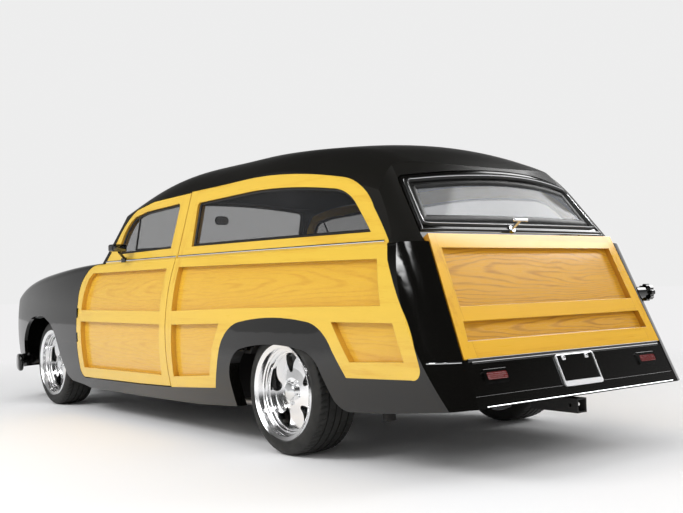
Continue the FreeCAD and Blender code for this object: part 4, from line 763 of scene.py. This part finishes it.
def cushion(name, low, high, face, rolls, replaced):
    """A crowned pad between two corners in millimetres. Face is the axis it swells along, x or z."""
    low, high = in_car(low, high)
    middle, half = (low + high) / 2, (high - low) / 2
    swell, deep = {"x": (0, 2), "z": (2, 0)}[face]
    shape = bmesh.new()
    bmesh.ops.create_cube(shape, size=2.0)
    for axis, cuts in ((1, rolls * 7), (deep, 22), (swell, 6)):
        edges = [e for e in shape.edges if abs(e.verts[0].co[axis] - e.verts[1].co[axis]) > 1.0]
        bmesh.ops.subdivide_edges(shape, edges=edges, cuts=cuts, use_grid_fill=True)
    for vert in shape.verts:
        unit = vert.co.copy()
        point = Vector([unit[i] * half[i] for i in range(3)])
        core = Vector([max(-half[i] + PAD_EDGE, min(half[i] - PAD_EDGE, point[i])) for i in range(3)])
        off = point - core
        point = core + off.normalized() * PAD_EDGE if off.length > 1e-9 else point
        raised = max(0.0, unit[swell])
        s, t = unit[1], unit[deep]
        point[swell] += CROWN * raised * ((1 - s * s) * (1 - t * t) - 1.0)
        point[1] -= WAIST * s * (1 - t * t) * (1 - abs(unit[swell]))
        if abs(t) < ROLLS_LONG and abs(s) < ROLLS_WIDE:
            roll = abs(math.sin(math.pi * rolls * (s / ROLLS_WIDE + 1) / 2))
            point[swell] -= ROLL_DEEP * raised * (1 - roll ** 0.55)
        from_seam = min(abs(abs(t) - SEAM_LONG), abs(abs(s) - SEAM_WIDE))
        if from_seam < SEAM_HALF and abs(t) < 0.9 and abs(s) < 0.985:
            point[swell] -= SEAM_DEEP * raised * (1 - from_seam / SEAM_HALF)
        vert.co = middle + point
    part = piece(name, shape, leather, "root", 60)
    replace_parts(part, replaced)


def base(name, low, high, replaced):
    """The covered box under a cushion, between two corners in millimetres."""
    low, high = in_car(low, high)
    shape = bmesh.new()
    rings = []
    for z, inset in ((low.z, 0.02), (low.z + 0.02, 0.006), (high.z - 0.01, 0.0), (high.z, 0.008)):
        loop = corners(low.x + inset, high.x - inset, low.y + inset, high.y - inset, 0.03)
        rings.append([shape.verts.new((x, y, z)) for x, y in loop])
    loft(shape, rings)
    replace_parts(piece(name, shape, leather, "root"), replaced)


cushion("front_seat_cushion", (1085, -636, 425), (1598, 636, 545), "z", 26, "front_seat")
cushion("front_seat_back", (968, -636, 470), (1098, 636, 866), "x", 26, "front_seat")
base("front_seat_base_left", (1100, 152, 229), (1570, 610, 424), "front_seat")
base("front_seat_base_right", (1100, -610, 229), (1570, -152, 424), "front_seat")
cushion("rear_seat_cushion", (135, -536, 530), (558, 536, 650), "z", 22, "rear_seat")
cushion("rear_seat_back", (28, -536, 572), (150, 536, 928), "x", 22, "rear_seat")
base("rear_seat_base", (150, -510, 487), (530, 510, 529), "rear_seat")
dash_paint, shader, place = material("dash_paint", Base_Color=(0.012, 0.012, 0.012, 1), Coat_Weight=0.3)
feed(shader, Roughness=0.3 + place.noise(50.0, 4.0) * 0.2, Normal=place.noise(400.0, 2.0).bump(0.0003, 0.3))
dress(dash_paint, "dashboard", "steering_wheel")

# The driver's mirrors: a glass let into the back of each door mirror's head, and a rounded one
# inside that hangs from the roof on a thin stem.
DOOR_MIRROR = (0.3245, 0.9015, 1.0625)
CABIN_MIRROR, STEM_X, STEM_IN = Vector((0.615, 0, 1.268)), 0.007, 0.002


def tablet(shape, middle, wide, high, radius, depths):
    """A pane or case that faces along the car, with round corners. Depths are each ring's x and inset."""
    rings = []
    for x, inset in depths:
        half_wide, half_high = wide / 2 - inset, high / 2 - inset
        loop = corners(-half_wide, half_wide, -half_high, half_high, radius - inset)
        rings.append([shape.verts.new((middle[0] + x, middle[1] + y, middle[2] + z)) for y, z in loop])
    loft(shape, rings)


tinted, shader, place = material("tinted_mirror", Base_Color=(0.16, 0.17, 0.18, 1), Metallic=1.0)
feed(shader, Roughness=0.03 + place.noise(40.0, 3.0) * 0.04)
for side, sign in SIDES:
    shape = bmesh.new()
    middle = (DOOR_MIRROR[0], DOOR_MIRROR[1] * sign, DOOR_MIRROR[2])
    tablet(shape, middle, 0.086, 0.036, 0.010, [(-0.0014, 0.002), (-0.0006, 0.0), (0.0005, 0.0)])
    piece(f"door_{side}_mirror_glass", shape, tinted, f"door_{side}")
shape = bmesh.new()
tablet(shape, CABIN_MIRROR, 0.110, 0.060, 0.029,
       [(-0.004, 0.004), (0.0, 0.0), (0.008, 0.001), (0.014, 0.010)])
piece("cabin_mirror", shape, dash_paint, "root", 50)
shape = bmesh.new()
tablet(shape, CABIN_MIRROR, 0.100, 0.050, 0.0240, [(-0.0046, 0.0), (-0.0041, 0.0)])
piece("cabin_mirror_glass", shape, brushed, "root")
stem_foot = CABIN_MIRROR + Vector((STEM_X, 0, 0))
roof_place = skin("roof", "windscreen").ray_cast(stem_foot, Vector((0, 0, 1)))[0]
stem_length = roof_place.z - CABIN_MIRROR.z + STEM_IN
stem = [(0.0, 0.0002), (0.0, 0.006), (stem_length, 0.004), (stem_length, 0.0002)]
turned("cabin_mirror_stem", stem, stem_foot, (0, 0, 1), chrome, "root", 16)

# The wipers: two bright arms that lie along the foot of the windscreen, each with a long rubber
# blade that rests on the glass.
ARM_LIFT = 0.010
for side, sign in SIDES:
    blade = [(sign * y, 1090 - 32 * (y / 735) ** 2) for y in range(170, 600, 20)]
    strip(f"wiper_blade_{side}", lay(blade, screen, "ahead"), 0.004, 0.010, seal, "root")
    arm = [(sign * (150 + 24 * i), 1072 + 1.6 * i) for i in range(9)]
    strip(f"wiper_arm_{side}", lifted(lay(arm, screen, "ahead"), ARM_LIFT), 0.0035, 0.004, chrome, "root")

# The studio: a pale paper floor that fades into a white wall, and three soft lamps. The lacquer
# mirrors a darker ceiling, a dark wall and three bright windows of the room.
FLOOR_HALF, FADE_START, FADE_END = 60, 2.9, 6.0
paper, shader, place = material("floor_paper", Base_Color=(0.94, 0.94, 0.945, 1), Roughness=0.9,
                                Specular_IOR_Level=0.1)
feed(shader, Normal=place.noise(30.0, 3.0).bump(0.0005, 0.1))
x, y, _ = place.axes()
shown = (place.add("LightPath", {}, {}, "Is Camera Ray") + place.add("LightPath", {}, {}, "Is Glossy Ray")
         + place.add("LightPath", {}, {}, "Is Transmission Ray")).least(1.0)
far = (x * x + y * y).root().blur(FADE_START, FADE_END) * shown
glow = place.add("Emission", {}, {"Color": (0.87, 0.865, 0.87, 1), "Strength": 1.0})
surface = place.add("MixShader", {}, {0: far, 1: Shade(place.tree, shader.outputs[0]), 2: glow})
place.tree.links.new(surface.socket, place.tree.nodes["Material Output"].inputs["Surface"])
sheet = bpy.data.meshes.new("studio_floor")
sheet.from_pydata([(x * FLOOR_HALF, y * FLOOR_HALF, 0) for x, y in ((-1, -1), (1, -1), (1, 1), (-1, 1))], [],
                  [(0, 1, 2, 3)])
sheet.materials.append(paper)
floor = bpy.data.objects.new("studio_floor", sheet)
bpy.context.scene.collection.objects.link(floor)


def soft_lamp(name, place, target, width, height, power):
    """A broad lamp that lights the car and isn't mirrored in it."""
    light = bpy.data.lights.new(name, "AREA")
    light.shape, light.size, light.size_y, light.energy = "RECTANGLE", width, height, power
    lamp = bpy.data.objects.new(name, light)
    lamp.location = place
    lamp.rotation_mode = "QUATERNION"
    lamp.rotation_quaternion = (Vector(target) - Vector(place)).to_track_quat("-Z", "Y")
    lamp.visible_glossy = False
    bpy.context.scene.collection.objects.link(lamp)


soft_lamp("key_lamp", (0.2, 5.0, 4.0), (-0.4, 0, 0.5), 3.2, 1.8, 160)
soft_lamp("tail_box", (-6.4, 1.6, 3.0), (-1.8, 0, 0.7), 2.0, 1.4, 55)
soft_lamp("far_side_box", (-4.2, -4.6, 3.4), (-2.2, -0.8, 0.2), 2.4, 1.6, 90)
AIR_LIGHT, AIR_SHOWN, AIR_MIRRORED, DARKENING = 0.66, 0.85, 0.56, 0.94
TAIL_GLOW, POST_GLOW, SIDE_GLOW = 8.0, 18.0, 3.0
world = bpy.data.worlds.new("studio_air")
bpy.context.scene.world = world
world.use_nodes = True
# A place in the room is a direction from the car: its heading is an angle in radians and wz is
# how steeply it rises.
way = Shade(world.node_tree).add("TexCoord", {}, {}, "Generated")
wx, wy, wz = way.axes()
camera_ray = way.add("LightPath", {}, {}, "Is Camera Ray")
mirrored = way.add("LightPath", {}, {}, "Is Glossy Ray")
seen_through = way.add("LightPath", {}, {}, "Is Transmission Ray")
shown = (camera_ray + mirrored + seen_through).least(1.0)
heading = way.math("ARCTAN2", wy, wx)


def lit_between(value, low, low_soft, high, high_soft):
    """1 between two bounds, which each have a soft edge, and 0 outside them."""
    return (value - low).blur(0.0, low_soft) * (high - value).blur(0.0, high_soft)


ceiling = wz.blur(0.08, 0.44)
dark_wall = (wy * 0.62 - wx * 0.78).blur(0.35, 0.75) * wz.blur(0.05, 0.25)
dark = (ceiling + dark_wall).least(1.0) * mirrored
tail_window = ((heading + 2.05 + (wz - 0.485) * 1.2).blur(0.0, 0.02) * (-1.2 - heading).blur(0.0, 0.2)
               * lit_between(wz, 0.452, 0.012, 0.76, 0.03))
post_panes = lit_between(heading, 2.40, 0.03, 2.60, 0.05) + lit_between(heading, 2.78, 0.04, 2.98, 0.08) * 0.6
post_window = (post_panes * (wz - 0.655 - (heading - 2.46) * 0.14).blur(0.0, 0.02)
               * (0.80 - wz).blur(0.0, 0.05))
side_window = lit_between(heading, 1.05, 0.12, 2.12, 0.10) * lit_between(wz, 0.08, 0.10, 0.85, 0.10)
air = AIR_LIGHT * (1 - shown) + AIR_SHOWN * (camera_ray + seen_through) + AIR_MIRRORED * mirrored
windows = tail_window * TAIL_GLOW + post_window * POST_GLOW + side_window * SIDE_GLOW
strength = air * (1 - dark * DARKENING) + windows * mirrored
backdrop = world.node_tree.nodes["Background"]
world.node_tree.links.new(strength.socket, backdrop.inputs["Strength"])
backdrop.inputs["Color"].default_value = (1.0, 1.0, 1.0, 1)
bpy.context.scene.view_settings.view_transform = "Standard"
